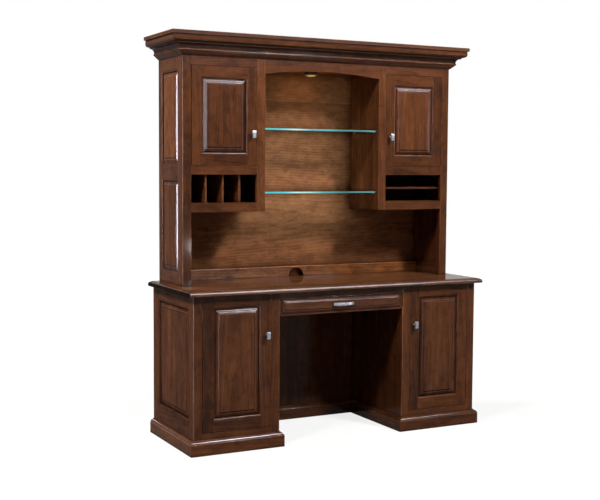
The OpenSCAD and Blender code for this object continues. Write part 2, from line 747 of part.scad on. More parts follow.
module hinge_frame_leaves() color(bronze) for (s = [-1, 1], o = [desk_opening, hutch_opening])
  at_hinges(s, o) leaf(false);
module hinge_pins() color(bronze) for (s = [-1, 1], o = [desk_opening, hutch_opening])
  at_hinges(s, o) hinge_pin();

module door_catches() color(black_plastic) for (s = [-1, 1], o = [desk_opening, hutch_opening])
  on_side(s) translate([door_x(o) + catch_x - catch_w / 2, o[4] + board + strike_t + 0.3, o[2]])
    cube([catch_w, catch_d, catch_h]);

// Hutch

hutch_frame_w = rear - hutch_front - board;
hutch_end_h = carcass_top - desk_h;
hutch_mids = [[hutch_mid_rail_up, hutch_mid_rail]];

module dowel_holes(z) both_sides() for (p = dowel_at) translate([p[0], p[1], z])
  cylinder(r = dowel_r + pin_clear, h = dowel_half + 1, $fn = round_fn);

module hutch_end(s) color(wood) difference() {
  translate([0, 0, desk_h]) on_end(s, half_hutch, hutch_front + board)
    frame(hutch_frame_w, hutch_end_h, hutch_front_stile, hutch_back_stile,
      hutch_low_rail, hutch_end_top_rail, hutch_mids);
  dowel_holes(desk_h - 1);
}
module hutch_left_end_frame() hutch_end(-1);
module hutch_right_end_frame() hutch_end(1);

module hutch_end_panels() color(wood) for (s = [-1, 1])
  translate([0, 0, desk_h]) on_end(s, half_hutch, hutch_front + board)
    for (z = [[hutch_low_rail, hutch_mid_rail_up],
              [hutch_mid_rail_up + hutch_mid_rail, hutch_end_h - hutch_end_top_rail]])
      translate([hutch_front_stile, 0, z[0]])
        raised_panel(hutch_frame_w - hutch_front_stile - hutch_back_stile, z[1] - z[0]);

module hutch_face_frame() color(wood) both_sides() translate([0, hutch_front, 0]) {
  translate([hutch_open_out, 0, desk_h]) cube([ff_stile, board, carcass_top - desk_h]);
  translate([half_bay, 0, slot_rail_z]) cube([ff_stile, board, carcass_top - slot_rail_z]);
  for (r = [[slot_rail_z, slot_z], [mid_rail_z, cabinet_z], [cabinet_top, carcass_top]])
    translate([hutch_open_in + glue, 0, r[0]])
      cube([hutch_open_out - hutch_open_in - 2 * glue, board, r[1] - r[0]]);
}

arch_low = cabinet_top - arch_drop;
arch_bend = (pow(half_bay, 2) + pow(arch_rise, 2)) / (2 * arch_rise);
arch_a = asin(half_bay / arch_bend);
module arched_rail() color(wood) translate([0, hutch_front, 0]) along_y(board)
  polygon(concat([[-half_bay, carcass_top]],
    arc(0, arch_low + arch_rise - arch_bend, arch_bend, arch_bend, 90 + arch_a, 90 - arch_a, arch_n),
    [[half_bay, carcass_top]]));

module hutch_partitions() color(wood) both_sides() difference() {
  translate([half_bay, hutch_front + board, slot_rail_z])
    cube([shelf_t, hutch_back_y - hutch_front - board, ceiling_z - slot_rail_z]);
  for (z = [glass_z[0] - shelf_pin_r, glass_z[1] - shelf_pin_r, desk_h + spare_holes_up],
       y = glass_pin_y)
    translate([half_bay - 1, y, z]) rotate([0, 90, 0])
      cylinder(r = shelf_pin_r + pin_clear, h = pin_hole_d + 1, $fn = round_fn);
}

partition_out = half_bay + shelf_t;
hutch_end_in = half_hutch - board;
module cabinet_board(y0, z, t) translate([partition_out, y0, z])
  cube([hutch_end_in - partition_out, hutch_back_y - y0, t]);

module hutch_cabinet_decks() color(wood_light) both_sides() {
  cabinet_board(hutch_front + board, slot_z - shelf_t, shelf_t);
  cabinet_board(hutch_front + board, cabinet_z - shelf_t, shelf_t);
}
module hutch_cabinet_shelves() color(wood_light) both_sides()
  cabinet_board(hutch_front + 2 * board, cabinet_z + cabinet_shelf_up, shelf_t);

module hutch_top_boards() color(wood_light) for (z = [ceiling_z, carcass_top - shelf_t])
  translate([-hutch_end_in, hutch_front + board, z])
    cube([2 * hutch_end_in, hutch_back_y - hutch_front - board, shelf_t]);

slot_front = hutch_front + board + slot_setback;
slot_pitch = (hutch_open_out - hutch_open_in + slot_divider_t) / (slot_dividers + 1);
module mail_slot_dividers() color(wood) for (i = [1 : slot_dividers])
  translate([-hutch_open_out - slot_divider_t + i * slot_pitch, slot_front, slot_z])
    cube([slot_divider_t, hutch_back_y - slot_front, cabinet_z - shelf_t - slot_z]);
module letter_tray() color(wood)
  cabinet_board(slot_front, slot_z + (slot_h - slot_divider_t) / 2, slot_divider_t);

module glass_shelves() color(glass_blue) for (z = glass_z)
  translate([-half_bay + 1, hutch_front + glass_setback, z])
    cube([bay_w - 2, hutch_back_y - hutch_front - glass_setback - 1, glass_t]);

module hutch_back() color(wood_light) difference() {
  translate([-hutch_end_in, hutch_back_y, desk_h])
    cube([2 * hutch_end_in, back_t, carcass_top - desk_h]);
  translate([-outlet_x, hutch_back_y - 1, desk_h + channel_h / 2])
    along_y(back_t + 2) rounded(outlet_w, outlet_h, outlet_h / 2 - 0.1);
}

module cable_channel_cover() color(wood) {
  difference() {
    translate([-hutch_end_in, channel_y, desk_h]) cube([2 * hutch_end_in, channel_t, channel_h]);
    translate([-notch_off, channel_y - 1, desk_h]) rotate([-90, 0, 0])
      cylinder(r = notch_r, h = channel_t + 2, $fn = 96);
  }
  translate([-hutch_end_in, channel_y + channel_t + glue, desk_h + channel_h - channel_t])
    cube([2 * hutch_end_in, channel_d - channel_t - glue, channel_t]);
}

module crown_moulding() color(wood) translate([0, 0, total_h - crown_h]) {
  front_run(crown_outline(), -half_hutch, half_hutch, hutch_front, crown_out, 1, 1);
  both_sides() side_run(crown_outline(), half_hutch, hutch_front, rear, crown_out, 0);
}

puck_y = hutch_front + puck_in;
lens_r = puck_r - 6;
module puck_light_trim() color(bronze) translate([0, puck_y, ceiling_z - puck_h])
  rotate_extrude($fn = 96) polygon([[lens_r - 2, 0], [puck_r - 2, 0], [puck_r, 2],
    [puck_r, puck_h], [0, puck_h], [0, 6], [lens_r, 6], [lens_r, 3], [lens_r - 2, 3]]);
module puck_light_lens() color(lamp_white) translate([0, puck_y, ceiling_z - puck_h])
  rotate_extrude($fn = 96) polygon(concat([[0, 6], [0, -lens_drop]],
    [for (i = [1 : 6]) let (a = 15 * i) [(lens_r - 2.3) * sin(a), -lens_drop * cos(a)]],
    [[lens_r - 2.3, 3], [lens_r - 0.1, 3], [lens_r - 0.1, 6]]));

module hutch_dowels() color(wood_light) both_sides() for (p = dowel_at)
  translate([p[0], p[1], desk_h - dowel_half]) cylinder(r = dowel_r, h = 2 * dowel_half, $fn = round_fn);

desk_left_end_frame();
desk_right_end_frame();
desk_end_panels();
left_pedestal_face_frame();
right_pedestal_face_frame();
kneehole_sides();
pedestal_decks();
pedestal_stretchers();
pedestal_shelves();
shelf_pins();
pedestal_backs();
kneehole_back();
drawer_apron();
plinth();
worktop();
drawer_front();
drawer_box();
drawer_bottom();
drawer_pull();
drawer_runner_outers();
left_runner_middle();
right_runner_middle();
drawer_runner_inners();
left_desk_door_frame();
left_desk_door_panel();
left_desk_door_knob();
left_desk_door_fittings();
right_desk_door_frame();
right_desk_door_panel();
right_desk_door_knob();
right_desk_door_fittings();
hinge_frame_leaves();
hinge_pins();
door_catches();
hutch_left_end_frame();
hutch_right_end_frame();
hutch_end_panels();
hutch_face_frame();
arched_rail();
hutch_partitions();
hutch_cabinet_decks();
hutch_top_boards();
mail_slot_dividers();
letter_tray();
hutch_cabinet_shelves();
glass_shelves();
hutch_back();
cable_channel_cover();
crown_moulding();
puck_light_trim();
puck_light_lens();
hutch_dowels();
left_hutch_door_frame();
left_hutch_door_panel();
left_hutch_door_knob();
left_hutch_door_fittings();
right_hutch_door_frame();
right_hutch_door_panel();
right_hutch_door_knob();
right_hutch_door_fittings();
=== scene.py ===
import json
import math
import random

import bmesh
import bpy
import numpy as np
from mathutils import Matrix, Vector


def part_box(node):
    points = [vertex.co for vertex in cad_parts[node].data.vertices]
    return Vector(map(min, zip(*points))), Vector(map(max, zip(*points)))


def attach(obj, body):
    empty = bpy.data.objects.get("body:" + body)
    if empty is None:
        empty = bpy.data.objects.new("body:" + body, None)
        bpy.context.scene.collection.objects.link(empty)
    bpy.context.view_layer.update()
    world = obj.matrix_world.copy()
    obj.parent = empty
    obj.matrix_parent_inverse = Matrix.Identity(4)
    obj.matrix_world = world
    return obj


print("credenza: loading the packed model")
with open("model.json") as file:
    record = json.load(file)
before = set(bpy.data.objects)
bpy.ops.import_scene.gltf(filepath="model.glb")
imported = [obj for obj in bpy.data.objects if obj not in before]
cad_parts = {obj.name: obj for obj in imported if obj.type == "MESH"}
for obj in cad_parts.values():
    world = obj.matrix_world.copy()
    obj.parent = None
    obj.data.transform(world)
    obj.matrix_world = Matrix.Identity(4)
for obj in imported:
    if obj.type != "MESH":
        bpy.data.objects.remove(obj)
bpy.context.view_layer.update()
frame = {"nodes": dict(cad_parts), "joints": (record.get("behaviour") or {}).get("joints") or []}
parts = frame["nodes"]

# a noise seldom leaves this range
noiseLow, noiseHigh = 0.3, 0.7


def newMaterial(name):
    material = bpy.data.materials.new(name)
    material.use_nodes = True
    material.node_tree.nodes.clear()
    return material, material.node_tree


def addNode(tree, kind, **settings):
    node = tree.nodes.new("ShaderNode" + kind)
    for name, value in settings.items():
        setattr(node, name, value)
    return node


def feed(tree, socket, value):
    # a socket is linked, anything else is written on the input
    if isinstance(value, bpy.types.NodeSocket):
        tree.links.new(value, socket)
    else:
        socket.default_value = value


def maths(tree, operation, a, b=0.0):
    node = addNode(tree, "Math", operation=operation)
    feed(tree, node.inputs[0], a)
    feed(tree, node.inputs[1], b)
    return node.outputs[0]


def times(tree, a, b):
    return maths(tree, "MULTIPLY", a, b)


def total(tree, *terms, add=maths):
    # add is maths for numbers and vectorMaths for places
    result = terms[0]
    for term in terms[1:]:
        result = add(tree, "ADD", result, term)
    return result


def vectorMaths(tree, operation, a, b=(0, 0, 0)):
    node = addNode(tree, "VectorMath", operation=operation)
    feed(tree, node.inputs[0], a)
    feed(tree, node.inputs[1], b)
    return node.outputs["Value"] if operation in ("DOT_PRODUCT", "LENGTH") else node.outputs["Vector"]


def scaled(tree, vector, amount):
    node = addNode(tree, "VectorMath", operation="SCALE")
    feed(tree, node.inputs[0], vector)
    feed(tree, node.inputs["Scale"], amount)
    return node.outputs["Vector"]


def objectPlace(tree):
    return addNode(tree, "TexCoord").outputs["Object"]


def readAttribute(tree, name, output="Vector"):
    return addNode(tree, "Attribute", attribute_name=name).outputs[output]


def noise(tree, vector, scale, detail=2.0, roughness=0.5, distortion=0.0):
    node = addNode(tree, "TexNoise")
    feed(tree, node.inputs["Vector"], vector)
    feed(tree, node.inputs["Scale"], scale)
    feed(tree, node.inputs["Detail"], detail)
    feed(tree, node.inputs["Roughness"], roughness)
    feed(tree, node.inputs["Distortion"], distortion)
    return node.outputs["Fac"]


def ramp(tree, value, stops, ease="LINEAR"):
    # stops: (place, grey or colour)
    node = addNode(tree, "ValToRGB")
    band = node.color_ramp
    band.interpolation = ease
    while len(band.elements) < len(stops):
        band.elements.new(0.5)
    for element, (place, shade) in zip(band.elements, stops):
        element.position = place
        element.color = (*shade, 1) if isinstance(shade, tuple) else (shade, shade, shade, 1)
    feed(tree, node.inputs["Fac"], value)
    return node.outputs["Color"]


def mixColour(tree, blend, amount, a, b):
    node = addNode(tree, "Mix", data_type="RGBA", blend_type=blend)
    feed(tree, node.inputs["Factor"], amount)
    for socket, value in ((node.inputs[6], a), (node.inputs[7], b)):
        feed(tree, socket, (*value, 1) if isinstance(value, tuple) and len(value) == 3 else value)
    return node.outputs[2]


def remap(tree, value, fromLow, fromHigh, toLow, toHigh):
    node = addNode(tree, "MapRange")
    for name, number in (("Value", value), ("From Min", fromLow), ("From Max", fromHigh),
                         ("To Min", toLow), ("To Max", toHigh)):
        feed(tree, node.inputs[name], number)
    return node.outputs["Result"]


def spread(tree, value, low, high):
    # a noise stretched over low to high
    return remap(tree, value, noiseLow, noiseHigh, low, high)


def bump(tree, height, strength, distance, under=None):
    node = addNode(tree, "Bump")
    if under is not None:
        feed(tree, node.inputs["Normal"], under)
    feed(tree, node.inputs["Height"], height)
    feed(tree, node.inputs["Strength"], strength)
    feed(tree, node.inputs["Distance"], distance)
    return node.outputs["Normal"]


def finishWith(tree, sockets):
    # Principled shader with the given inputs, on the material output
    shader = addNode(tree, "BsdfPrincipled")
    for name, value in sockets.items():
        feed(tree, shader.inputs[name], value)
    output = addNode(tree, "OutputMaterial")
    tree.links.new(shader.outputs["BSDF"], output.inputs["Surface"])


def addToScene(thing):
    bpy.context.scene.collection.objects.link(thing)


# the brown stain and its lacquer; the other woods below change some of these
brownStain = {
    "light": (0.18, 0.065, 0.022),
    "body": (0.112, 0.037, 0.0125),
    "deep": (0.076, 0.0245, 0.0085),
    "dark": (0.034, 0.012, 0.005),
    "shades": (0.0, 0.35, 0.65, 1.0),
    # staves of wide boards, and how much shorter the figure is along the grain
    "stretch": 7.0, "staveStart": 0.013, "staveWidth": 0.072, "staveShift": 3.0, "staveTone": 0.26,
    "toneDepth": 0.12,
    # growth rings
    "wanderScale": 6.0, "wander": 0.04, "taper": 0.03, "ringWidth": 0.013, "ringDepth": 0.2,
    "stavePith": 0.02, "ringLevel": 0.3, "ring": [(0.0, 0.25), (0.12, 0.0), (0.8, 0.55), (0.95, 1.0)],
    # fibres, clouds, flecks and pores; a noise is its detail, its roughness and its distortion
    "fibreScale": 420.0, "fibreNoise": (5.0, 0.7), "fibreDepth": 0.09,
    "cloudScale": 26.0, "cloudNoise": (3.0, 0.55, 0.6), "cloudRange": (0.25, 0.75), "cloudDepth": 0.2,
    "wideScale": 9.1, "wideDepth": 0.14,
    "fleckScale": 130.0, "fleckDepth": 0.14, "fleck": [(0.6, 0.0), (0.72, 1.0)],
    "poreScale": 900.0, "poreDepth": 0.22, "pore": [(0.62, 0.0), (0.72, 1.0)],
    "poreTint": (0.25, 0.2, 0.18),
    # blotches and a few knots
    "blotchScale": 17.0, "blotchNoise": (4.0, 0.6, 0.8), "blotchStretch": 1.3, "blotchDepth": 0.36,
    "blotch": [(0.42, 0.0), (0.78, 1.0)],
    "knotScale": 2.6, "knotRarity": 0.6, "knotDepth": 0.4, "knot": [(0.0, 1.0), (0.02, 0.7), (0.05, 0.0)],
    # glaze and painted shade in inner corners, drawn by ambient occlusion, darker end grain, and glaze and
    #     # painted shade on sloping borders by how they face
    "glazeAndShadeReach": 0.018, "glazeAndShadeDepth": 0.9, "glazeAndShade": [(0.4, 1.0), (0.88, 0.0)],
    "glazeAndShadeTint": (0.14, 0.09, 0.07), "endTint": (0.12, 0.11, 0.15), "bevelGlazeAndShadeTint": (0.4, 0.32, 0.28),
    # up a sloping border: a dark line of glaze and painted shade first, a pale painted highlight that is
    #     # also rubbed wear last, and where the lacquer shows
    "quirk": [(0.01, 0.0), (0.018, 1.0), (0.2, 1.0), (0.28, 0.0)], "quirkTint": (0.3, 0.26, 0.24),
    "arrisWearAndHighlight": [(0.84, 0.0), (0.93, 1.0)], "arrisWearAndHighlightTint": (0.05, 0.038, 0.04),
    "stripes": [(0.01, 1.0), (0.018, 0.0), (0.22, 0.0), (0.28, 1.0), (0.5, 1.0), (0.56, 0.0),
                (0.72, 0.0), (0.8, 1.0), (0.96, 1.0), (1.0, 0.3)],
    # lacquer
    "roughness": 0.42, "rougher": 0.06, "smoother": 0.05, "specular": 0.0, "coat": 0.135,
    "coatRoughness": 0.12, "endDull": 0.85,
    "bump": 0.08, "bumpHeight": 0.0006, "fibreHeight": 0.4, "poreHeight": 0.8,
}
plain = {"staveWidth": 0.6, "staveTone": 0.0}  # boards that aren't glued up
noLine = [(0.0, 0.0), (1.0, 0.0)]
boards = {
    "frames": dict(brownStain, **plain),
    "panels": dict(brownStain, coat=0.155),
    "drawer": dict(brownStain, **plain, coat=0.24),
    "deskEndFrames": dict(brownStain, **plain, coat=0.07),
    "deskEndPanels": dict(brownStain, coat=0.07),
    # the kneehole's stain is darker than the rest: painted shade in the recess under the worktop
    "kneehole": dict(brownStain, light=(0.13, 0.045, 0.017), body=(0.085, 0.027, 0.01),
                     deep=(0.058, 0.0185, 0.007), coat=0.1),
    "plinth": dict(brownStain, **plain, coat=0.36, arrisWearAndHighlight=noLine, quirk=noLine,
                   stripes=[(0.0, 0.38), (0.02, 1.0), (0.42, 1.0), (0.48, 0.05), (0.6, 0.05),
                            (0.66, 1.0)]),
    "hutchEnds": dict(brownStain, toneDepth=0.22, coat=0.15, quirk=noLine,
                      stripes=[(0.0, 0.65), (0.02, 1.0), (0.4, 1.0), (0.5, 0.65), (0.6, 1.0)]),
    "cover": dict(brownStain, **plain, light=(0.37, 0.144, 0.046), body=(0.24, 0.084, 0.025),
                  deep=(0.14, 0.05, 0.016), coat=0.03, glazeAndShadeReach=0.004),
    # the back board's long reach darkens it behind the cable cover and near the partitions: painted shade
    "backBoard": dict(brownStain, light=(0.4, 0.185, 0.08), body=(0.238, 0.1, 0.042),
                      deep=(0.145, 0.058, 0.025), dark=(0.06, 0.023, 0.011), stretch=2.6,
                      staveStart=0.088, staveWidth=0.1635, staveTone=0.3, cloudScale=34.0,
                      cloudDepth=0.16, ringDepth=0.16, wideScale=11.9, wideDepth=0.07,
                      blotchDepth=0.16, coat=0.0, glazeAndShadeReach=0.05),
    "inside": dict(brownStain, staveWidth=0.11, coat=0.06, roughness=0.5),
    "top": dict(brownStain, light=(0.18, 0.07, 0.027), body=(0.113, 0.0425, 0.0165),
                deep=(0.078, 0.0285, 0.012), staveWidth=0.09, coat=0.5, coatRoughness=0.05,
                glazeAndShadeReach=0.005, endDull=0.93),
}


def placesOnBoard(tree, look):
    # places for the figure: wide boards are glued up from staves, each with its own shade and figure
    place = objectPlace(tree)
    grain = readAttribute(tree, "grainAxis")
    seed = readAttribute(tree, "boardSeed")
    along = vectorMaths(tree, "DOT_PRODUCT", place, grain)
    aside = vectorMaths(tree, "DOT_PRODUCT", place, readAttribute(tree, "acrossAxis"))
    number = maths(tree, "FLOOR", maths(
        tree, "DIVIDE", maths(tree, "SUBTRACT", aside, look["staveStart"]), look["staveWidth"]))
    stave = addNode(tree, "TexWhiteNoise", noise_dimensions="4D")
    feed(tree, stave.inputs["Vector"], seed)
    feed(tree, stave.inputs["W"], number)
    shift = scaled(tree, stave.outputs["Color"], look["staveShift"])
    flat = vectorMaths(tree, "SUBTRACT", place, scaled(tree, grain, along))

    def stretchedBy(amount):
        shortened = scaled(tree, grain, maths(tree, "DIVIDE", along, amount))
        return total(tree, flat, shortened, seed, shift, add=vectorMaths)

    return {"along": along, "flat": flat, "shift": shift, "staveShade": stave.outputs["Value"],
            "grained": stretchedBy(look["stretch"]), "patchy": stretchedBy(look["blotchStretch"])}


def growthRings(tree, look, at):
    # rings round the pith of each board, cut at a slight slope
    fromPith = vectorMaths(tree, "SUBTRACT", at["flat"], readAttribute(tree, "pithPoint"))
    fromPith = vectorMaths(tree, "ADD", fromPith, scaled(tree, at["shift"], look["stavePith"]))
    wander = noise(tree, at["grained"], look["wanderScale"])
    radius = total(tree, vectorMaths(tree, "LENGTH", fromPith), times(tree, at["along"], look["taper"]),
                   times(tree, wander, look["wander"]))
    ring = maths(tree, "FRACT", maths(tree, "DIVIDE", radius, look["ringWidth"]))
    shade = ramp(tree, ring, look["ring"], "EASE")
    return times(tree, maths(tree, "SUBTRACT", shade, look["ringLevel"]), look["ringDepth"])


def knots(tree, look, at):
    cells = addNode(tree, "TexVoronoi", feature="F1")
    feed(tree, cells.inputs["Vector"], at["patchy"])
    feed(tree, cells.inputs["Scale"], look["knotScale"])
    heart = ramp(tree, cells.outputs["Distance"], look["knot"], "EASE")
    drawn = addNode(tree, "SeparateColor")
    feed(tree, drawn.inputs["Color"], cells.outputs["Color"])
    few = maths(tree, "GREATER_THAN", drawn.outputs["Red"], look["knotRarity"])
    return times(tree, times(tree, heart, few), look["knotDepth"])


def woodShade(tree, look, at, fibre):
    # 0 is the lightest wood and 1 the darkest
    grained = at["grained"]
    cloud = noise(tree, grained, look["cloudScale"], *look["cloudNoise"])
    wide = noise(tree, grained, look["wideScale"])
    fleck = ramp(tree, noise(tree, grained, look["fleckScale"]), look["fleck"])
    blotch = noise(tree, at["patchy"], look["blotchScale"], *look["blotchNoise"])
    blotch = ramp(tree, blotch, look["blotch"])
    staveTone = maths(tree, "SUBTRACT", at["staveShade"], 0.5)
    return total(
        tree, growthRings(tree, look, at),
        spread(tree, fibre, -look["fibreDepth"], look["fibreDepth"]),
        remap(tree, cloud, *look["cloudRange"], -look["cloudDepth"], look["cloudDepth"]),
        spread(tree, wide, -look["wideDepth"], look["wideDepth"]),
        times(tree, blotch, look["blotchDepth"]),
        knots(tree, look, at),
        times(tree, fleck, look["fleckDepth"]),
        times(tree, readAttribute(tree, "boardTone", "Fac"), look["toneDepth"]),
        times(tree, staveTone, look["staveTone"]),
        0.5)  # halfway, between body and deep


def glazed(tree, look, colour, endGrain, upSlope):
    # glaze and painted shade darken inner corners, by ambient occlusion, and end grain is darker; a
    #     # sloping border gets glaze and painted shade by how it faces, a dark line of glaze and painted
    #     shade
    #     # along its outer edge, and a pale painted highlight, also rubbed wear, along its inner edge
    # the corner glaze comes from ambient occlusion, so it is painted shade as well as glaze
    corner = addNode(tree, "AmbientOcclusion", samples=4, only_local=False)
    feed(tree, corner.inputs["Distance"], look["glazeAndShadeReach"])
    cornerGlazeAndShade = times(tree, ramp(tree, corner.outputs["AO"], look["glazeAndShade"]), look["glazeAndShadeDepth"])
    colour = mixColour(tree, "MULTIPLY", cornerGlazeAndShade, colour, look["glazeAndShadeTint"])
    colour = mixColour(tree, "MULTIPLY", endGrain, colour, look["endTint"])
    colour = mixColour(tree, "MULTIPLY", readAttribute(tree, "bevelGlazeAndShade", "Fac"), colour,
                       look["bevelGlazeAndShadeTint"])
    # a dark line along the outer edge, where the border sinks in: glaze and painted shade
    colour = mixColour(tree, "MULTIPLY", ramp(tree, upSlope, look["quirk"]), colour, look["quirkTint"])
    # a pale line added along the inner edge: painted highlight, as well as rubbed wear
    return mixColour(tree, "ADD", ramp(tree, upSlope, look["arrisWearAndHighlight"]), colour, look["arrisWearAndHighlightTint"])


def stainedWood(name, look):
    material, tree = newMaterial(name)
    at = placesOnBoard(tree, look)
    fibre = noise(tree, at["grained"], look["fibreScale"], *look["fibreNoise"])
    pore = ramp(tree, noise(tree, at["grained"], look["poreScale"]), look["pore"])
    tints = [look[shade] for shade in ("light", "body", "deep", "dark")]
    colour = ramp(tree, woodShade(tree, look, at, fibre), list(zip(look["shades"], tints)))
    colour = mixColour(tree, "MULTIPLY", times(tree, pore, look["poreDepth"]), colour, look["poreTint"])
    endGrain = readAttribute(tree, "endGrain", "Fac")
    upSlope = readAttribute(tree, "bevelAcross", "Fac")
    # the lacquer shows least on end grain, and most along both edges of a sloping border
    gloss = times(tree, ramp(tree, upSlope, look["stripes"]), maths(
        tree, "SUBTRACT", 1.0, times(tree, endGrain, look["endDull"])))
    height = maths(tree, "SUBTRACT", times(tree, fibre, look["fibreHeight"]),
                   times(tree, pore, look["poreHeight"]))
    finishWith(tree, {
        "Base Color": glazed(tree, look, colour, endGrain, upSlope),
        "Roughness": spread(tree, fibre, look["roughness"] - look["smoother"],
                            look["roughness"] + look["rougher"]),
        "Specular IOR Level": look["specular"],
        "Coat Weight": times(tree, gloss, look["coat"]),
        "Coat Roughness": look["coatRoughness"],
        "Normal": bump(tree, height, look["bump"], look["bumpHeight"]),
    })
    return material


cornerGrid = 0.00002  # corners of loose triangles in one cell of this grid are one corner
gridShift = 0.3  # keeps round sizes off the cells' borders


def cornersOf(mesh):
    # corner points, and a whole-number key that is the same for the loose triangles' shared corners
    points = np.zeros(len(mesh.vertices) * 3)
    mesh.vertices.foreach_get("co", points)
    points = points.reshape(-1, 3)
    cells = np.floor(points / cornerGrid + gridShift).astype(int)
    return points, [tuple(cell) for cell in cells.tolist()]


def looseBoards(mesh):
    # the corner points, and for each of them the first corner of its board
    points, keys = cornersOf(mesh)
    parent = list(range(len(points)))

    def root(i):
        while parent[i] != i:
            parent[i] = parent[parent[i]]
            i = parent[i]
        return i

    first = {}
    for i, key in enumerate(keys):
        parent[root(i)] = root(first.setdefault(key, i))
    for face in mesh.polygons:
        for vertex in face.vertices[1:]:
            parent[root(vertex)] = root(face.vertices[0])
    return points, [root(i) for i in range(len(points))]


# how far the pith may lie from the board's middle, aside as a share of the width and deep in metres
boardDraw = {"pithAside": 0.4, "pithDeep": (0.02, 0.11), "figureShift": 20}


def drawBoard(chance, low, high):
    # one board's grain along its longest side, its pith, a shift of the figure and a shade
    size = high - low
    longest, wide, thin = sorted(range(3), key=lambda axis: -size[axis])
    grain, across = [0.0] * 3, [0.0] * 3
    grain[longest], across[wide] = 1.0, 1.0
    middle = (low + high) / 2
    pith = middle.copy()
    pith[wide] += chance.uniform(-boardDraw["pithAside"], boardDraw["pithAside"]) * size[wide]
    pith[thin] += chance.choice((-1, 1)) * chance.uniform(*boardDraw["pithDeep"])
    pith[longest] = 0.0
    reach = boardDraw["figureShift"]
    shift = [chance.uniform(-reach, reach) for _ in range(3)]
    return {"grainAxis": grain, "acrossAxis": across, "pithPoint": list(pith), "boardSeed": shift,
            "boardTone": chance.uniform(-1, 1), "thin": thin, "middle": middle}


# wooden pieces: the wood, and where needed a shade (above 0 is darker), which of the possible sets
# of board figures, single boards' shades by their middle across and up, the round of the edges and of
# the outer front corners, and whether the piece has raised borders, a moulded top or banded ends
woodPieces = {
    "desk_left_end_frame": {"wood": "deskEndFrames"},
    "desk_right_end_frame": {"wood": "deskEndFrames"},
    "desk_end_panels": {"wood": "deskEndPanels", "raised": True},
    "kneehole_sides": {"wood": "kneehole", "shade": 0.5},
    "kneehole_back": {"wood": "kneehole", "shade": -2.5},
    "cable_channel_cover": {"wood": "cover", "round": 0.0015},
    "plinth": {"wood": "plinth", "shade": -0.4, "round": 0.0008, "mouldedTop": True},
    "drawer_front": {"wood": "drawer", "shade": -0.6, "raised": True},
    # this figure set and the hutch ends' deeper tones make the upper end panel lighter than the lower one:
    # board tone that also stands for painted light from above
    "hutch_end_panels": {"wood": "hutchEnds", "shade": -0.6, "figure": 198, "raised": True},
    "left_pedestal_face_frame": {"wood": "frames", "figure": 253, "corner": 0.0026},
    "right_pedestal_face_frame": {"wood": "frames", "shade": -0.3, "corner": 0.0026},
    "drawer_apron": {"wood": "frames", "shade": -1.0},
    "left_desk_door_frame": {"wood": "frames", "shade": 1.1, "figure": 137},
    "right_desk_door_frame": {"wood": "frames"},
    "hutch_left_end_frame": {"wood": "frames"},
    "hutch_right_end_frame": {"wood": "frames"},
    "hutch_face_frame": {"wood": "frames", "shade": 0.2, "figure": 13, "corner": 0.0026, "boards": {
        (-0.3555, 1.5765): -3.4, (-0.555, 1.1725): -2.0, (-0.555, 1.3575): -1.4,
        (0.3555, 1.5765): -2.2, (0.555, 1.935): -0.9}},
    "arched_rail": {"wood": "frames", "shade": -1.6},
    "mail_slot_dividers": {"wood": "frames", "shade": -2.0, "banded": True},
    "letter_tray": {"wood": "frames", "shade": 1.6},
    "crown_moulding": {"wood": "frames"},
    "left_hutch_door_frame": {"wood": "frames", "shade": 0.3},
    "right_hutch_door_frame": {"wood": "frames"},
    "left_desk_door_panel": {"wood": "panels", "shade": -0.9, "raised": True},
    "right_desk_door_panel": {"wood": "panels", "shade": -0.5, "raised": True},
    "left_hutch_door_panel": {"wood": "panels", "shade": 0.8, "raised": True},
    "right_hutch_door_panel": {"wood": "panels", "shade": -0.4, "raised": True},
    "hutch_partitions": {"wood": "panels"},
    "worktop": {"wood": "top", "round": 0.0008},
    "hutch_back": {"wood": "backBoard", "shade": -1.3},
}
insidePieces = ["pedestal_decks", "pedestal_stretchers", "pedestal_shelves", "pedestal_backs",
                "drawer_box", "drawer_bottom", "hutch_cabinet_decks", "hutch_top_boards",
                "hutch_cabinet_shelves", "hutch_dowels"]
woodPieces.update({name: {"wood": "inside"} for name in insidePieces})

# what counts as a sloping face, the value at its outer edge, and the glaze and painted shade on it by
# # how it faces: more the more it faces down, none when it faces up
slopes = {"least": 0.9, "most": 0.995, "mouldedLeast": 0.1, "mouldedMost": 0.97, "start": 0.02,
          "shortest": 0.0001, "glazeAndShadeLevel": 0.3, "shadeDown": 1.9, "glazeAndShadeMost": 0.75}
# end grain is how square a face is to the grain, from 0 to 1, divided by spread, less offset
squareness = {"spread": 0.6, "offset": 0.3}
boardReach = 0.01  # a single board is found by its middle, to within this


def writeFaces(mesh, name, values):
    mesh.attributes.new(name, "FLOAT", "FACE").data.foreach_set("value", values)


def between(value, low, high):
    return min(max(value, low), high)


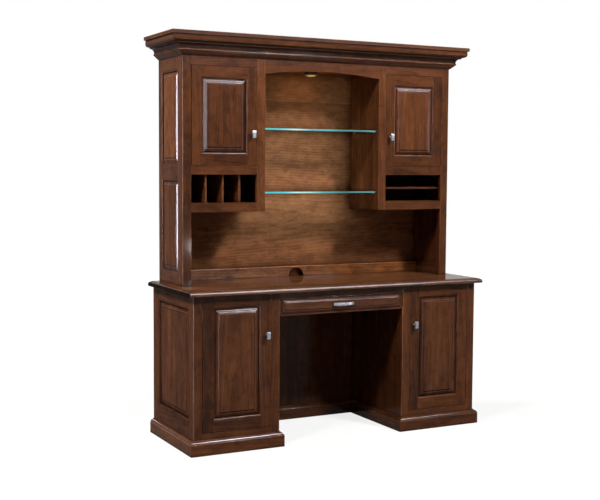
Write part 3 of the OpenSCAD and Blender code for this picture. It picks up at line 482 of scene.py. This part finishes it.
def markSlopes(mesh, finish, points, owner):
    # how far each corner of a sloping face lies up the slope, 0 where a face isn't one, and glaze with
    #     # painted shade on the borders, darkest on those that face down; a moulded top counts as one
    #     slope
    moulded = finish.get("mouldedTop", False)
    rise, glazeAndShade, heights, sloping = [], [], [], []
    for face, board in zip(mesh.polygons, owner):
        if moulded:
            heights.append([points[v][2] for v in face.vertices])
            sloping.append(slopes["mouldedLeast"] < face.normal.z < slopes["mouldedMost"])
        else:
            thin, middle = board["thin"], board["middle"]
            heights.append([abs(points[v][thin] - middle[thin]) for v in face.vertices])
            sloping.append(finish.get("raised", False)
                           and slopes["least"] < abs(face.normal[thin]) < slopes["most"])
        # glaze and painted shade: darker the more the border faces down, none when it faces up
        glazeAndShade.append(0.0 if moulded or not sloping[-1] else between(
            slopes["glazeAndShadeLevel"] - slopes["shadeDown"] * face.normal.z, 0.0, slopes["glazeAndShadeMost"]))
    whole = [height for found, slants in zip(heights, sloping) if slants for height in found]
    for found, slants in zip(heights, sloping):
        low, high = (min(whole), max(whole)) if moulded else (min(found), max(found))
        reach = max(high - low, slopes["shortest"])
        rise += [slopes["start"] + (1.0 - slopes["start"]) * (height - low) / reach
                 if slants else 0.0 for height in found]
    writeFaces(mesh, "bevelGlazeAndShade", glazeAndShade)
    mesh.attributes.new("bevelAcross", "FLOAT", "CORNER").data.foreach_set("value", rise)


def markBoards(name, finish):
    # each board of a piece gets its grain direction, its pith, a shift of the figure and a shade
    mesh = parts[name].data
    chance = random.Random(name + str(finish.get("figure", 0)))
    points, roots = looseBoards(mesh)
    groups = {}
    for i, root in enumerate(roots):
        groups.setdefault(root, []).append(i)
    marks = {}
    for root in sorted(groups, key=lambda g: tuple(points[groups[g]].mean(axis=0).round(4))):
        own = points[groups[root]]
        board = drawBoard(chance, own.min(axis=0), own.max(axis=0))
        board["boardTone"] += finish.get("shade", 0.0)
        for (x, z), shade in finish.get("boards", {}).items():
            if max(abs(board["middle"][0] - x), abs(board["middle"][2] - z)) < boardReach:
                board["boardTone"] += shade
        marks[root] = board
    owner = [marks[roots[face.vertices[0]]] for face in mesh.polygons]
    square = [abs(face.normal.dot(board["grainAxis"])) for face, board in zip(mesh.polygons, owner)]
    writeFaces(mesh, "endGrain", [0.0 if finish.get("banded") else between(
        value / squareness["spread"] - squareness["offset"], 0.0, 1.0) for value in square])
    markSlopes(mesh, finish, points, owner)
    for layer in ("grainAxis", "acrossAxis", "pithPoint", "boardSeed"):
        mesh.attributes.new(layer, "FLOAT_VECTOR", "FACE").data.foreach_set(
            "vector", [value for board in owner for value in board[layer]])
    writeFaces(mesh, "boardTone", [board["boardTone"] for board in owner])


# creases above steep are rounded and those below flat are smooth; lengths are metres, angles degrees
creases = {"steep": 32, "flat": 4, "wideFace": 0.0085, "slant": 0.0003, "upright": 0.2, "same": 0.0001,
           "shortest": 0.00001, "weld": 0.00001, "steps": 2, "cornerSteps": 4}


def markEdges(piece, small, corner):
    # steep creases get a small round, the outer front corners of a face frame a larger one; mitres and
    # the shallow creases of flat faces stay crisp, and the steps of a curve are shaded smooth
    mesh = piece.data
    points, keys = cornersOf(mesh)
    low, high = points.min(axis=0), points.max(axis=0)
    sides = {}
    for face in mesh.polygons:
        for loop in face.loop_indices:
            number = mesh.loops[loop].edge_index
            a, b = mesh.edges[number].vertices
            key = (min(keys[a], keys[b]), max(keys[a], keys[b]))
            reach = 2 * face.area / max(np.linalg.norm(points[a] - points[b]), creases["shortest"])
            sides.setdefault(key, []).append((number, face.normal, reach))
    rounds = [0.0] * len(mesh.edges)
    crisp = [False] * len(mesh.edges)
    same = creases["same"]
    for (a, b), found in sides.items():
        bend = math.degrees(min((side[1].angle(found[0][1]) for side in found[1:]), default=0.0))
        wide = max(side[2] for side in found) > creases["wideFace"]
        run = [abs(a[k] - b[k]) * cornerGrid for k in range(3)]
        slanting = sum(length > creases["slant"] for length in run) > 1
        upright = corner and run[0] < same and run[1] < same and run[2] > creases["upright"]
        start = points[mesh.edges[found[0][0]].vertices[0]]
        outside = min(start[0] - low[0], high[0] - start[0]) < same and start[1] - low[1] < same
        for number, _, _ in found:
            if bend > creases["steep"]:
                rounds[number] = 1.0 if upright and outside else small / max(small, corner)
            crisp[number] = bool(creases["flat"] < bend <= creases["steep"] and (slanting or wide))
    mesh.attributes.new("bevel_weight_edge", "FLOAT", "EDGE").data.foreach_set("value", rounds)
    layer = mesh.attributes.get("sharp_edge") or mesh.attributes.new("sharp_edge", "BOOLEAN", "EDGE")
    layer.data.foreach_set("value", crisp)


def easeEdges(piece, small, corner=0.0, edgeMaterial=-1):
    # loose triangles are joined, creases are rounded and the shading follows the large faces;
    # edgeMaterial is the number of the rounds' own material, -1 where they have none
    piece.data.shade_smooth()
    markEdges(piece, small, corner)
    weld = piece.modifiers.new("weld", "WELD")
    weld.merge_threshold = creases["weld"]
    edge = piece.modifiers.new("edges", "BEVEL")
    edge.width = max(small, corner)
    edge.segments = creases["cornerSteps"] if corner else creases["steps"]
    edge.limit_method = "WEIGHT"
    edge.use_clamp_overlap = True
    edge.material = edgeMaterial
    edge.face_strength_mode = "FSTR_ALL"
    shading = piece.modifiers.new("shading", "WEIGHTED_NORMAL")
    shading.mode = "CORNER_ANGLE"
    shading.use_face_influence = True
    shading.keep_sharp = True


def useMaterials(piece, *materials):
    piece.data.materials.clear()
    for material in materials:
        piece.data.materials.append(material)


# rounds of the edges, where the stain is rubbed paler; these woods' edges keep their own finish
rubbed = {"paler": {"light": 1.7, "body": 2.0, "deep": 2.0, "dark": 2.2}, "glazeAndShadeDepth": 0.4,
          "coat": 0.32, "round": 0.0006, "notOn": ("top", "inside", "backBoard")}


def rubbedWood(group):
    look = boards[group]
    paler = {shade: tuple(min(value * factor, 1.0) for value in look[shade])
             for shade, factor in rubbed["paler"].items()}
    return stainedWood("rubbed_" + group, dict(
        look, **paler, glazeAndShadeDepth=rubbed["glazeAndShadeDepth"], coat=rubbed["coat"]))


print("credenza: staining the wood")
woods = {group: [stainedWood("wood_" + group, look)] for group, look in boards.items()}
for group in woods:
    if group not in rubbed["notOn"]:
        woods[group].append(rubbedWood(group))
for name, finish in woodPieces.items():
    markBoards(name, finish)
    woodSet = woods[finish["wood"]]
    easeEdges(parts[name], finish.get("round", rubbed["round"]), finish.get("corner", 0.0),
              edgeMaterial=len(woodSet) - 1)
    useMaterials(parts[name], *woodSet)

# the front nose of the worktop, whose lacquer is rubbed softer than the top
nose = {"look": {"light": (0.19, 0.075, 0.03), "body": (0.12, 0.045, 0.018), "coat": 0.36,
                 "coatRoughness": 0.3},
        "frontMost": -0.08, "undersideMost": 0.1}
parts["worktop"].data.materials.append(stainedWood("wood_nose", dict(boards["top"], **nose["look"])))
for face in parts["worktop"].data.polygons:
    if face.normal.y < nose["frontMost"] and face.normal.z > nose["undersideMost"]:
        face.material_index = 1


def leanBack(tree, place, crown):
    # a normal that leans back more and more above the middle of the piece
    fromMiddle = vectorMaths(tree, "SUBTRACT", place, readAttribute(tree, "pieceMiddle"))
    up = maths(tree, "MAXIMUM", vectorMaths(tree, "DOT_PRODUCT", fromMiddle, (0, 0, 1)))
    return bump(tree, times(tree, times(tree, up, up), -crown), 1.0, 1.0)


def brushedMetal(name, look):
    material, tree = newMaterial(name)
    place = objectPlace(tree)
    turned = addNode(tree, "Mapping")
    tree.links.new(place, turned.inputs["Vector"])
    turned.inputs["Scale"].default_value = look["brushing"]
    lines = noise(tree, turned.outputs["Vector"], look["lineScale"], *look["lineNoise"])
    patina = noise(tree, place, look["patinaScale"], look["patinaDetail"])
    finishWith(tree, {
        "Base Color": mixColour(tree, "MULTIPLY", spread(tree, patina, 0.0, look["patinaDepth"]),
                                look["colour"], look["patina"]),
        "Metallic": 1.0,
        "Roughness": spread(tree, lines, look["roughness"] - look["streaks"],
                            look["roughness"] + look["streaks"]),
        "Normal": bump(tree, lines, *look["bump"],
                       leanBack(tree, place, look["crown"]) if look["crown"] else None),
    })
    return material


def darkBronze(name, look):
    material, tree = newMaterial(name)
    place = objectPlace(tree)
    mottle = noise(tree, place, look["mottleScale"], *look["mottleNoise"])
    worn = ramp(tree, noise(tree, place, look["wearScale"]), look["wear"])
    worn = times(tree, worn, look["wearDepth"])
    base = mixColour(tree, "MIX", spread(tree, mottle, 0.0, 1.0), look["dark"], look["light"])
    finishWith(tree, {
        "Base Color": mixColour(tree, "MIX", worn, base, look["worn"]),
        "Metallic": look["metallic"],
        "Specular IOR Level": look["specular"],
        "Roughness": spread(tree, mottle, *look["roughness"]),
        "Normal": bump(tree, mottle, *look["bump"]),
    })
    return material


def clearGlass(name, look):
    # polished, with a few faint smears
    material, tree = newMaterial(name)
    smears = noise(tree, objectPlace(tree), look["smearScale"], *look["smearNoise"])
    finishWith(tree, {
        "Base Color": mixColour(tree, "MIX", smears, look["clean"], look["smeared"]),
        "Roughness": remap(tree, smears, *look["smearRange"], 0.0, look["smearRoughness"]),
        "IOR": look["index"],
        "Transmission Weight": 1.0,
        "Normal": bump(tree, smears, *look["bump"]),
    })
    return material


def glassEdge(name, look):
    # painted glow and highlight: bright on the left, pale a little further on, dim on the right
    material, tree = newMaterial(name)
    place = objectPlace(tree)
    low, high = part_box("glass_shelves")
    sideways = vectorMaths(tree, "DOT_PRODUCT", place, (1, 0, 0))
    along = total(tree, remap(tree, sideways, low.x, high.x, 0.0, look["reach"]),
                  spread(tree, noise(tree, place, look["driftScale"]), *look["drift"]))
    shade = ramp(tree, along, look["shades"])
    finishWith(tree, {
        "Base Color": mixColour(tree, "MULTIPLY", 1.0, shade, look["body"]),
        "Roughness": look["roughness"],
        "Emission Color": shade,
        "Emission Strength": look["glow"],
    })
    return material


def mouldedPlastic(name, look):
    material, tree = newMaterial(name)
    pebble = noise(tree, objectPlace(tree), look["grainScale"])
    finishWith(tree, {
        "Base Color": mixColour(tree, "MIX", pebble, look["dark"], look["light"]),
        "Roughness": spread(tree, pebble, *look["roughness"]),
        "Normal": bump(tree, pebble, *look["bump"]),
    })
    return material


def glowingLens(name, look):
    # frosted plastic, lit from behind
    material, tree = newMaterial(name)
    frost = noise(tree, objectPlace(tree), look["grainScale"])
    finishWith(tree, {
        "Base Color": mixColour(tree, "MIX", frost, look["dark"], look["light"]),
        "Roughness": spread(tree, frost, *look["roughness"]),
        "Emission Color": look["glowColour"],
        "Emission Strength": look["glow"],
        "Specular IOR Level": look["specular"],
        "Normal": bump(tree, frost, *look["bump"]),
    })
    return material


print("credenza: metal, glass and plastic")
# a noise is its detail and its roughness, a bump its strength and its height; brushing is how much
# finer the lines are along each axis, and the crown how far the upper half leans back
nickelLook = {"colour": (0.17, 0.172, 0.178), "roughness": 0.27, "streaks": 0.08, "crown": 4.2,
              "brushing": (1.0, 40.0, 40.0), "lineScale": 22.5, "lineNoise": (4.0, 0.6),
              "patina": (0.8, 0.79, 0.76), "patinaScale": 60.0, "patinaDetail": 3.0,
              "patinaDepth": 0.25, "bump": (0.05, 0.0002)}
pinLook = dict(nickelLook, roughness=0.3, crown=0.0)
zincLook = dict(pinLook, colour=(0.62, 0.64, 0.66), roughness=0.36, streaks=0.1,
                brushing=(40.0, 1.0, 40.0))
bronzeLook = {"dark": (0.024, 0.011, 0.006), "light": (0.045, 0.02, 0.011), "worn": (0.05, 0.03, 0.02),
              "mottleScale": 140.0, "mottleNoise": (4.0, 0.6), "wearScale": 45.0, "wearDepth": 0.4,
              "wear": [(0.5, 0.0), (0.8, 1.0)], "metallic": 0.1, "specular": 0.06,
              "roughness": (0.42, 0.56), "bump": (0.08, 0.0002)}
glassLook = {"clean": (0.86, 1.0, 0.97), "smeared": (0.85, 0.99, 0.965), "smearScale": 14.0,
             "smearNoise": (4.0, 0.6), "smearRange": (0.55, 0.8), "smearRoughness": 0.06,
             "index": 1.45, "bump": (0.02, 0.0001)}
glassEdgeGlowLook = {"reach": 0.92, "drift": (-0.08, 0.12), "driftScale": 5.0, "body": (0.5, 0.5, 0.5),
                 "roughness": 0.12, "glow": 0.42,
                 "shades": [(0.0, (0.05, 0.5, 0.46)), (0.16, (0.05, 0.62, 0.74)),
                            (0.34, (0.42, 0.8, 0.72)), (0.46, (0.07, 0.42, 0.44)),
                            (0.72, (0.05, 0.2, 0.2)), (0.9, (0.06, 0.3, 0.28)),
                            (1.0, (0.12, 0.42, 0.38))]}
plasticLook = {"dark": (0.02, 0.02, 0.021), "light": (0.025, 0.025, 0.02625), "grainScale": 2600.0,
               "roughness": (0.46, 0.56), "bump": (0.15, 0.0001)}
lensLook = {"dark": (0.2, 0.14, 0.05), "light": (0.26, 0.19, 0.08), "grainScale": 1800.0,
            "roughness": (0.4, 0.55), "glowColour": (1.0, 0.64, 0.16, 1), "glow": 0.1,
            "specular": 0.1, "bump": (0.1, 0.0001)}
nickel = brushedMetal("satin_nickel", nickelLook)
zinc = brushedMetal("zinc_plate", zincLook)
bronze = darkBronze("dark_bronze", bronzeLook)

doorBodies = [side + "_" + unit + "_door" for unit in ("desk", "hutch") for side in ("left", "right")]
handles = ["drawer_pull"] + [body + "_knob" for body in doorBodies]
runners = ["drawer_runner_outers", "left_runner_middle", "right_runner_middle", "drawer_runner_inners"]
hardware = {
    "shelf_pins": brushedMetal("pin_nickel", pinLook),
    "puck_light_trim": bronze,
    "hinge_frame_leaves": bronze,
    "hinge_pins": bronze,
    "door_catches": mouldedPlastic("black_plastic", plasticLook),
    "puck_light_lens": glowingLens("lamp_lens", lensLook),
    "glass_shelves": clearGlass("shelf_glass", glassLook),
}
hardware.update({name: nickel for name in handles})
hardware.update({name: zinc for name in runners})
hardware.update({body + "_fittings": bronze for body in doorBodies})
hardwareRound = {"handle": 0.0006, "other": 0.0002}
for name, material in hardware.items():
    easeEdges(parts[name], hardwareRound["handle" if name in handles else "other"])
    useMaterials(parts[name], material)
for name in handles:
    low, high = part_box(name)
    mesh = parts[name].data
    mesh.attributes.new("pieceMiddle", "FLOAT_VECTOR", "FACE").data.foreach_set(
        "vector", list((low + high) / 2) * len(mesh.polygons))

# the cut edges of the glass shelves glow by their material: painted light for the light that they gather
levelFace = 0.7  # a face whose normal is nearer upright than this is a top or an underside
parts["glass_shelves"].data.materials.append(glassEdge("glass_edge_painted_glow", glassEdgeGlowLook))
for face in parts["glass_shelves"].data.polygons:
    face.material_index = 0 if abs(face.normal.z) > levelFace else 1


# screw and bolt heads: radius and rise of each kind, how far they are sunk, and the sizes of the rim,
# the socket and its edge as shares of the radius, and of its depth as a share of the rise
heads = {"leaf": (0.0032, 0.00018), "strike": (0.0022, 0.00018), "catch": (0.0022, 0.0009),
         "bolt": (0.0045, 0.0022), "runner": (0.0032, 0.0009), "back": (0.0036, 0.0007)}
headShape = {"sunk": 0.0004, "rim": 0.82, "socket": 0.45, "socketEdge": 0.06, "socketDepth": 0.8,
             "segments": 20}


def addHeads(name, body, material, places):
    # heads with a sloping rim and a round socket; a place is (point, facing, kind)
    made = bmesh.new()
    for point, facing, kind in places:
        radius, rise = heads[kind]
        facing = Vector(facing)
        depth = rise + headShape["sunk"]
        turn = facing.to_track_quat("Z", "Y").to_matrix().to_4x4()
        middle = Matrix.Translation(Vector(point) + facing * (rise - depth / 2))
        found = bmesh.ops.create_cone(
            made, cap_ends=True, segments=headShape["segments"], radius1=radius,
            radius2=radius * headShape["rim"], depth=depth, matrix=middle @ turn)
        ring = {face for vert in found["verts"] for face in vert.link_faces}
        top = max(ring, key=lambda face: face.calc_center_median().dot(facing))
        bmesh.ops.inset_region(made, faces=[top],
                               thickness=radius * (headShape["rim"] - headShape["socket"]))
        bmesh.ops.inset_region(made, faces=[top], thickness=radius * headShape["socketEdge"],
                               depth=-rise * headShape["socketDepth"])
    mesh = bpy.data.meshes.new(name)
    made.to_mesh(mesh)
    made.free()
    piece = bpy.data.objects.new(name, mesh)
    addToScene(piece)
    mesh.materials.append(material)
    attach(piece, body)


# on a door, from its hinge axis, its ends and its free edge
doorFit = {"leafFace": 0.0003, "leafIn": 0.0108, "leafUp": 0.017, "hingeIn": 0.09,
           "strikeIn": 0.046, "strikeUp": 0.006, "strikeThick": 0.0012, "strikeSpread": 0.008,
           "catchSpread": 0.015, "catchBehind": 0.0105, "catchUp": 0.011}


def doorHeads(body):
    # places of the heads on a door, on its frame, on its catch and behind its knob
    low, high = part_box(body + "_frame")
    sign = 1 if low.x > 0 else -1
    axis = next(joint["pos_m"] for joint in frame["joints"] if joint["child"] == body)
    strike = min(abs(low.x), abs(high.x)) + doorFit["strikeIn"]
    y = axis[1] + doorFit["leafIn"]
    onDoor, onFrame = [], []
    for hinge in (low.z + doorFit["hingeIn"], high.z - doorFit["hingeIn"]):
        for z in (hinge - doorFit["leafUp"], hinge + doorFit["leafUp"]):
            onDoor.append(((axis[0] - sign * doorFit["leafFace"], y, z), (sign, 0, 0), "leaf"))
            onFrame.append(((axis[0] + sign * doorFit["leafFace"], y, z), (-sign, 0, 0), "leaf"))
    for aside in (-doorFit["strikeSpread"], doorFit["strikeSpread"]):
        onDoor.append(((sign * (strike + aside), high.y + doorFit["strikeThick"],
                        low.z + doorFit["strikeUp"]), (0, 1, 0), "strike"))
    onCatch = [((sign * (strike + aside), high.y + doorFit["catchBehind"], low.z + doorFit["catchUp"]),
                (0, 0, 1), "catch") for aside in (-doorFit["catchSpread"], doorFit["catchSpread"])]
    knobLow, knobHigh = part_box(body + "_knob")
    knob = (knobLow + knobHigh) / 2
    return onDoor, onFrame, onCatch, [((knob.x, high.y, knob.z), (0, 1, 0), "bolt")]


print("credenza: screws and bolts")
frameHeads, catchHeads = [], []
for body in doorBodies:
    onDoor, onFrame, onCatch, behindKnob = doorHeads(body)
    addHeads(body + "_screws", body, bronze, onDoor)
    addHeads(body + "_knob_bolt", body, zinc, behindKnob)
    frameHeads += onFrame
    catchHeads += onCatch
addHeads("hinge_frame_screws", "cabinet", bronze, frameHeads)
addHeads("catch_screws", "cabinet", zinc, catchHeads)

# the pull's bolts go in near its ends, behind the board of the drawer box
drawerFit = {"pullIn": 0.01, "boxBoard": 0.012, "runnerIn": 0.0012, "screwFirst": 0.037,
             "screwStep": 0.18, "screws": 3}
pullLow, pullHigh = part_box("drawer_pull")
boxLow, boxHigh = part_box("drawer_box")
runnerLow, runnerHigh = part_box("drawer_runner_inners")
pullMiddle = (pullLow.z + pullHigh.z) / 2
runnerMiddle = (runnerLow.z + runnerHigh.z) / 2
addHeads("drawer_pull_bolts", "drawer", zinc, [
    ((x, boxLow.y + drawerFit["boxBoard"], pullMiddle), (0, 1, 0), "bolt")
    for x in (pullLow.x + drawerFit["pullIn"], pullHigh.x - drawerFit["pullIn"])])
addHeads("drawer_runner_screws", "drawer", zinc, [
    ((sign * (boxHigh.x + drawerFit["runnerIn"]),
      runnerLow.y + drawerFit["screwFirst"] + step * drawerFit["screwStep"], runnerMiddle),
     (sign, 0, 0), "runner") for sign in (-1, 1) for step in range(drawerFit["screws"])])


def row(start, end, count):
    return [start + (end - start) * step / (count - 1) for step in range(count)]


# the hutch back is screwed to the end frames, the partitions and the roof, the pedestal backs to the
# deck and below the worktop; distances in from the edges of the boards
backFit = {"sideIn": 0.007, "sideUp": 0.053, "sideDown": 0.203, "sideScrews": 7,
           "partitionIn": 0.009, "partitionUp": 0.09, "partitionDown": 0.032, "partitionScrews": 5,
           "topIn": 0.009, "topEndIn": 0.097, "topScrews": 9, "pedestalIn": 0.024, "pedestalScrews": 4}
backLow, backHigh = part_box("hutch_back")
partitionLow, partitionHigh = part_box("hutch_partitions")
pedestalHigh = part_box("pedestal_backs")[1]
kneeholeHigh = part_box("kneehole_sides")[1]
deckLow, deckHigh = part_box("pedestal_decks")
sideRow = row(backLow.z + backFit["sideUp"], backHigh.z - backFit["sideDown"], backFit["sideScrews"])
partitionRow = row(partitionLow.z + backFit["partitionUp"],
                   partitionHigh.z - backFit["partitionDown"], backFit["partitionScrews"])
topRow = row(backLow.x + backFit["topEndIn"], backHigh.x - backFit["topEndIn"], backFit["topScrews"])
backSpots = [(sign * (backHigh.x - backFit["sideIn"]), z) for sign in (-1, 1) for z in sideRow]
backSpots += [(sign * (partitionHigh.x - backFit["partitionIn"]), z)
              for sign in (-1, 1) for z in partitionRow]
backSpots += [(x, backHigh.z - backFit["topIn"]) for x in topRow]
pedestalSpots = [(sign * x, z) for sign in (-1, 1)
                 for x in row(kneeholeHigh.x + backFit["pedestalIn"],
                              pedestalHigh.x - backFit["pedestalIn"], backFit["pedestalScrews"])
                 for z in ((deckLow.z + deckHigh.z) / 2, pedestalHigh.z - backFit["topIn"])]
addHeads("back_board_screws", "cabinet", zinc,
         [((x, backHigh.y, z), (0, 1, 0), "back") for x, z in backSpots]
         + [((x, pedestalHigh.y, z), (0, 1, 0), "back") for x, z in pedestalSpots])

print("credenza: camera and light")
view = {"place": (-2.7292, -5.0479, 1.3701), "yaw": 27.398, "pitch": 4.270, "roll": 0.335,
        "lens": 65.97, "sensor": 36, "reach": 60}
lensData = bpy.data.cameras.new("camera")
lensData.sensor_width = view["sensor"]
lensData.lens = view["lens"]
lensData.clip_end = view["reach"]
camera = bpy.data.objects.new("camera", lensData)
camera.matrix_world = (
    Matrix.Translation(view["place"])
    @ Matrix.Rotation(math.radians(-view["yaw"]), 4, "Z")
    @ Matrix.Rotation(math.radians(90 - view["pitch"]), 4, "X")
    @ Matrix.Rotation(math.radians(view["roll"]), 4, "Z"))
addToScene(camera)
bpy.context.scene.camera = camera

lamps = {
    "softbox": {"at": (1.49, -3.05, 4.05), "aim": (0, 0, 1.1), "size": (0.55, 0.8), "watts": 218,
                "colour": (1.0, 0.975, 0.95)},
    "side": {"at": (-3.4, 2.2, 4.0), "aim": (-0.8, 0, 1.5), "size": (0.5, 1.2), "watts": 200,
             "colour": (1.0, 0.98, 0.97)},
    "fill": {"at": (-3.05, -1.76, 4.06), "aim": (0, 0, 1.1), "size": (0.6, 0.6), "watts": 125,
             "colour": (1.0, 0.97, 0.95)},
}
# pale cards that only show as highlights on the lacquer, the metal and the glass
cards = {
    "upperCard": {"at": (2.15, -3.5, 3.8), "aim": (0, 0, 1.6), "size": (3.3, 0.75), "watts": 600,
                  "colour": (0.92, 0.92, 1.0)},
    "middleCard": {"at": (1.4, -3.2, 4.5), "aim": (0, 0, 1.6), "size": (2.3, 0.65), "watts": 150,
                   "colour": (0.92, 0.92, 1.0)},
    "topCard": {"at": (1.35, -2.9, 5.2), "aim": (0, 0, 1.6), "size": (2.3, 0.6), "watts": 330,
                "colour": (0.92, 0.92, 1.0)},
    "headerCard": {"at": (1.9, -3.55, 2.52), "aim": (0, 0, 1.95), "size": (3.4, 0.5), "watts": 24,
                   "colour": (0.92, 0.9, 1.0)},
    "deskCard": {"at": (0.22, -0.9, 0.9), "aim": (0, -0.25, 0.71), "size": (1.15, 0.057), "watts": 24,
                 "colour": (0.93, 0.93, 1.0)},
    "frontCard": {"at": (-0.8, -4.8, 1.86), "aim": (-0.7, 0, 1.6), "size": (0.6, 0.95), "watts": 95,
                  "colour": (0.84, 0.85, 1.0)},
    "rightCard": {"at": (4.3, -2.7, 1.3), "aim": (0, 0, 1.0), "size": (0.6, 1.8), "watts": 120,
                  "colour": (0.88, 0.89, 1.0)},
    "leftCard": {"at": (-4.2, -3.0, 1.1), "aim": (-0.8, -0.2, 0.9), "size": (1.6, 2.4), "watts": 260,
                 "colour": (0.9, 0.9, 1.0)},
    "footCard": {"at": (-1.75, -0.85, 0.4), "aim": (-0.8, -0.26, 0.4), "size": (0.2, 0.75), "watts": 34,
                 "colour": (0.9, 0.88, 1.0)},
    "sideCard": {"at": (-4.5, 3.7, 1.45), "aim": (-0.8, 0.05, 1.4), "size": (0.5, 2.0), "watts": 400,
                 "colour": (0.9, 0.88, 1.0)},
    "rearCard": {"at": (-0.35, 6.0, 1.5), "aim": (-0.8, 0, 1.4), "size": (0.9, 2.2), "watts": 100,
                 "colour": (0.9, 0.9, 1.0)},
}


def hangLamp(name, lamp, lightsWood):
    light = bpy.data.lights.new(name, "AREA")
    light.shape = "RECTANGLE"
    light.size, light.size_y = lamp["size"]
    light.energy = lamp["watts"]
    light.color = lamp["colour"]
    holder = bpy.data.objects.new(name, light)
    holder.location = lamp["at"]
    holder.rotation_euler = (Vector(lamp["aim"]) - Vector(lamp["at"])).to_track_quat("-Z", "Y").to_euler()
    holder.visible_camera = False
    holder.visible_diffuse = lightsWood
    addToScene(holder)


for name, lamp in lamps.items():
    hangLamp(name, lamp, True)
for name, card in cards.items():
    hangLamp(name, card, False)

# the puck lamp under the hutch's ceiling
puckLamp = {"below": 0.06, "radius": 0.02, "watts": 0.36, "colour": (1.0, 0.72, 0.36)}
puckLow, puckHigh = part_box("puck_light_lens")
puckMiddle = (puckLow + puckHigh) / 2
puck = bpy.data.lights.new("puck", "POINT")
puck.shadow_soft_size = puckLamp["radius"]
puck.energy = puckLamp["watts"]
puck.color = puckLamp["colour"]
puckHolder = bpy.data.objects.new("puck", puck)
puckHolder.location = (puckMiddle.x, puckMiddle.y, puckLow.z - puckLamp["below"])
puckHolder.visible_camera = False
addToScene(puckHolder)


def seenDirectly(tree):
    # 1 for rays from the camera, through glass and off shiny faces, so that the white doesn't light
    rays = addNode(tree, "LightPath")
    seen = maths(tree, "MAXIMUM", rays.outputs["Is Camera Ray"], rays.outputs["Is Glossy Ray"])
    return maths(tree, "MAXIMUM", seen, rays.outputs["Is Transmission Ray"])


white = (1, 1, 1, 1)
skyLook = {"light": 0.06, "seen": 1.0}
world = bpy.data.worlds.new("studio")
bpy.context.scene.world = world
world.use_nodes = True
sky = world.node_tree
sky.nodes.clear()
shine = addNode(sky, "Background")
shine.inputs["Color"].default_value = white
feed(sky, shine.inputs["Strength"], remap(sky, seenDirectly(sky), 0, 1, skyLook["light"], skyLook["seen"]))
skyOutput = addNode(sky, "OutputWorld")
sky.links.new(shine.outputs[0], skyOutput.inputs["Surface"])

# the floor is a little darker round the foot of the desk: painted shade, its glow less near the desk
floorLook = {"half": 30, "grey": (0.2, 0.2, 0.2, 1), "near": (1.2, 0.8), "far": (3.2, 1.0)}


def paleFloor(name, look):
    material, tree = newMaterial(name)
    distance = vectorMaths(tree, "LENGTH", objectPlace(tree))
    (nearPlace, nearGlow), (farPlace, farGlow) = look["near"], look["far"]
    glow = remap(tree, distance, nearPlace, farPlace, nearGlow, farGlow)
    emit = addNode(tree, "Emission")
    emit.inputs["Color"].default_value = white
    feed(tree, emit.inputs["Strength"], times(tree, seenDirectly(tree), glow))
    paint = addNode(tree, "BsdfDiffuse")
    paint.inputs["Color"].default_value = look["grey"]
    both = addNode(tree, "AddShader")
    tree.links.new(emit.outputs[0], both.inputs[0])
    tree.links.new(paint.outputs[0], both.inputs[1])
    output = addNode(tree, "OutputMaterial")
    tree.links.new(both.outputs[0], output.inputs["Surface"])
    return material


floorMesh = bpy.data.meshes.new("floor")
sheet = bmesh.new()
bmesh.ops.create_grid(sheet, x_segments=1, y_segments=1, size=floorLook["half"])
sheet.to_mesh(floorMesh)
sheet.free()
floor = bpy.data.objects.new("floor", floorMesh)
addToScene(floor)
floor.data.materials.append(paleFloor("floor", floorLook))

bpy.context.scene.view_settings.view_transform = "Standard"

print("credenza: done")
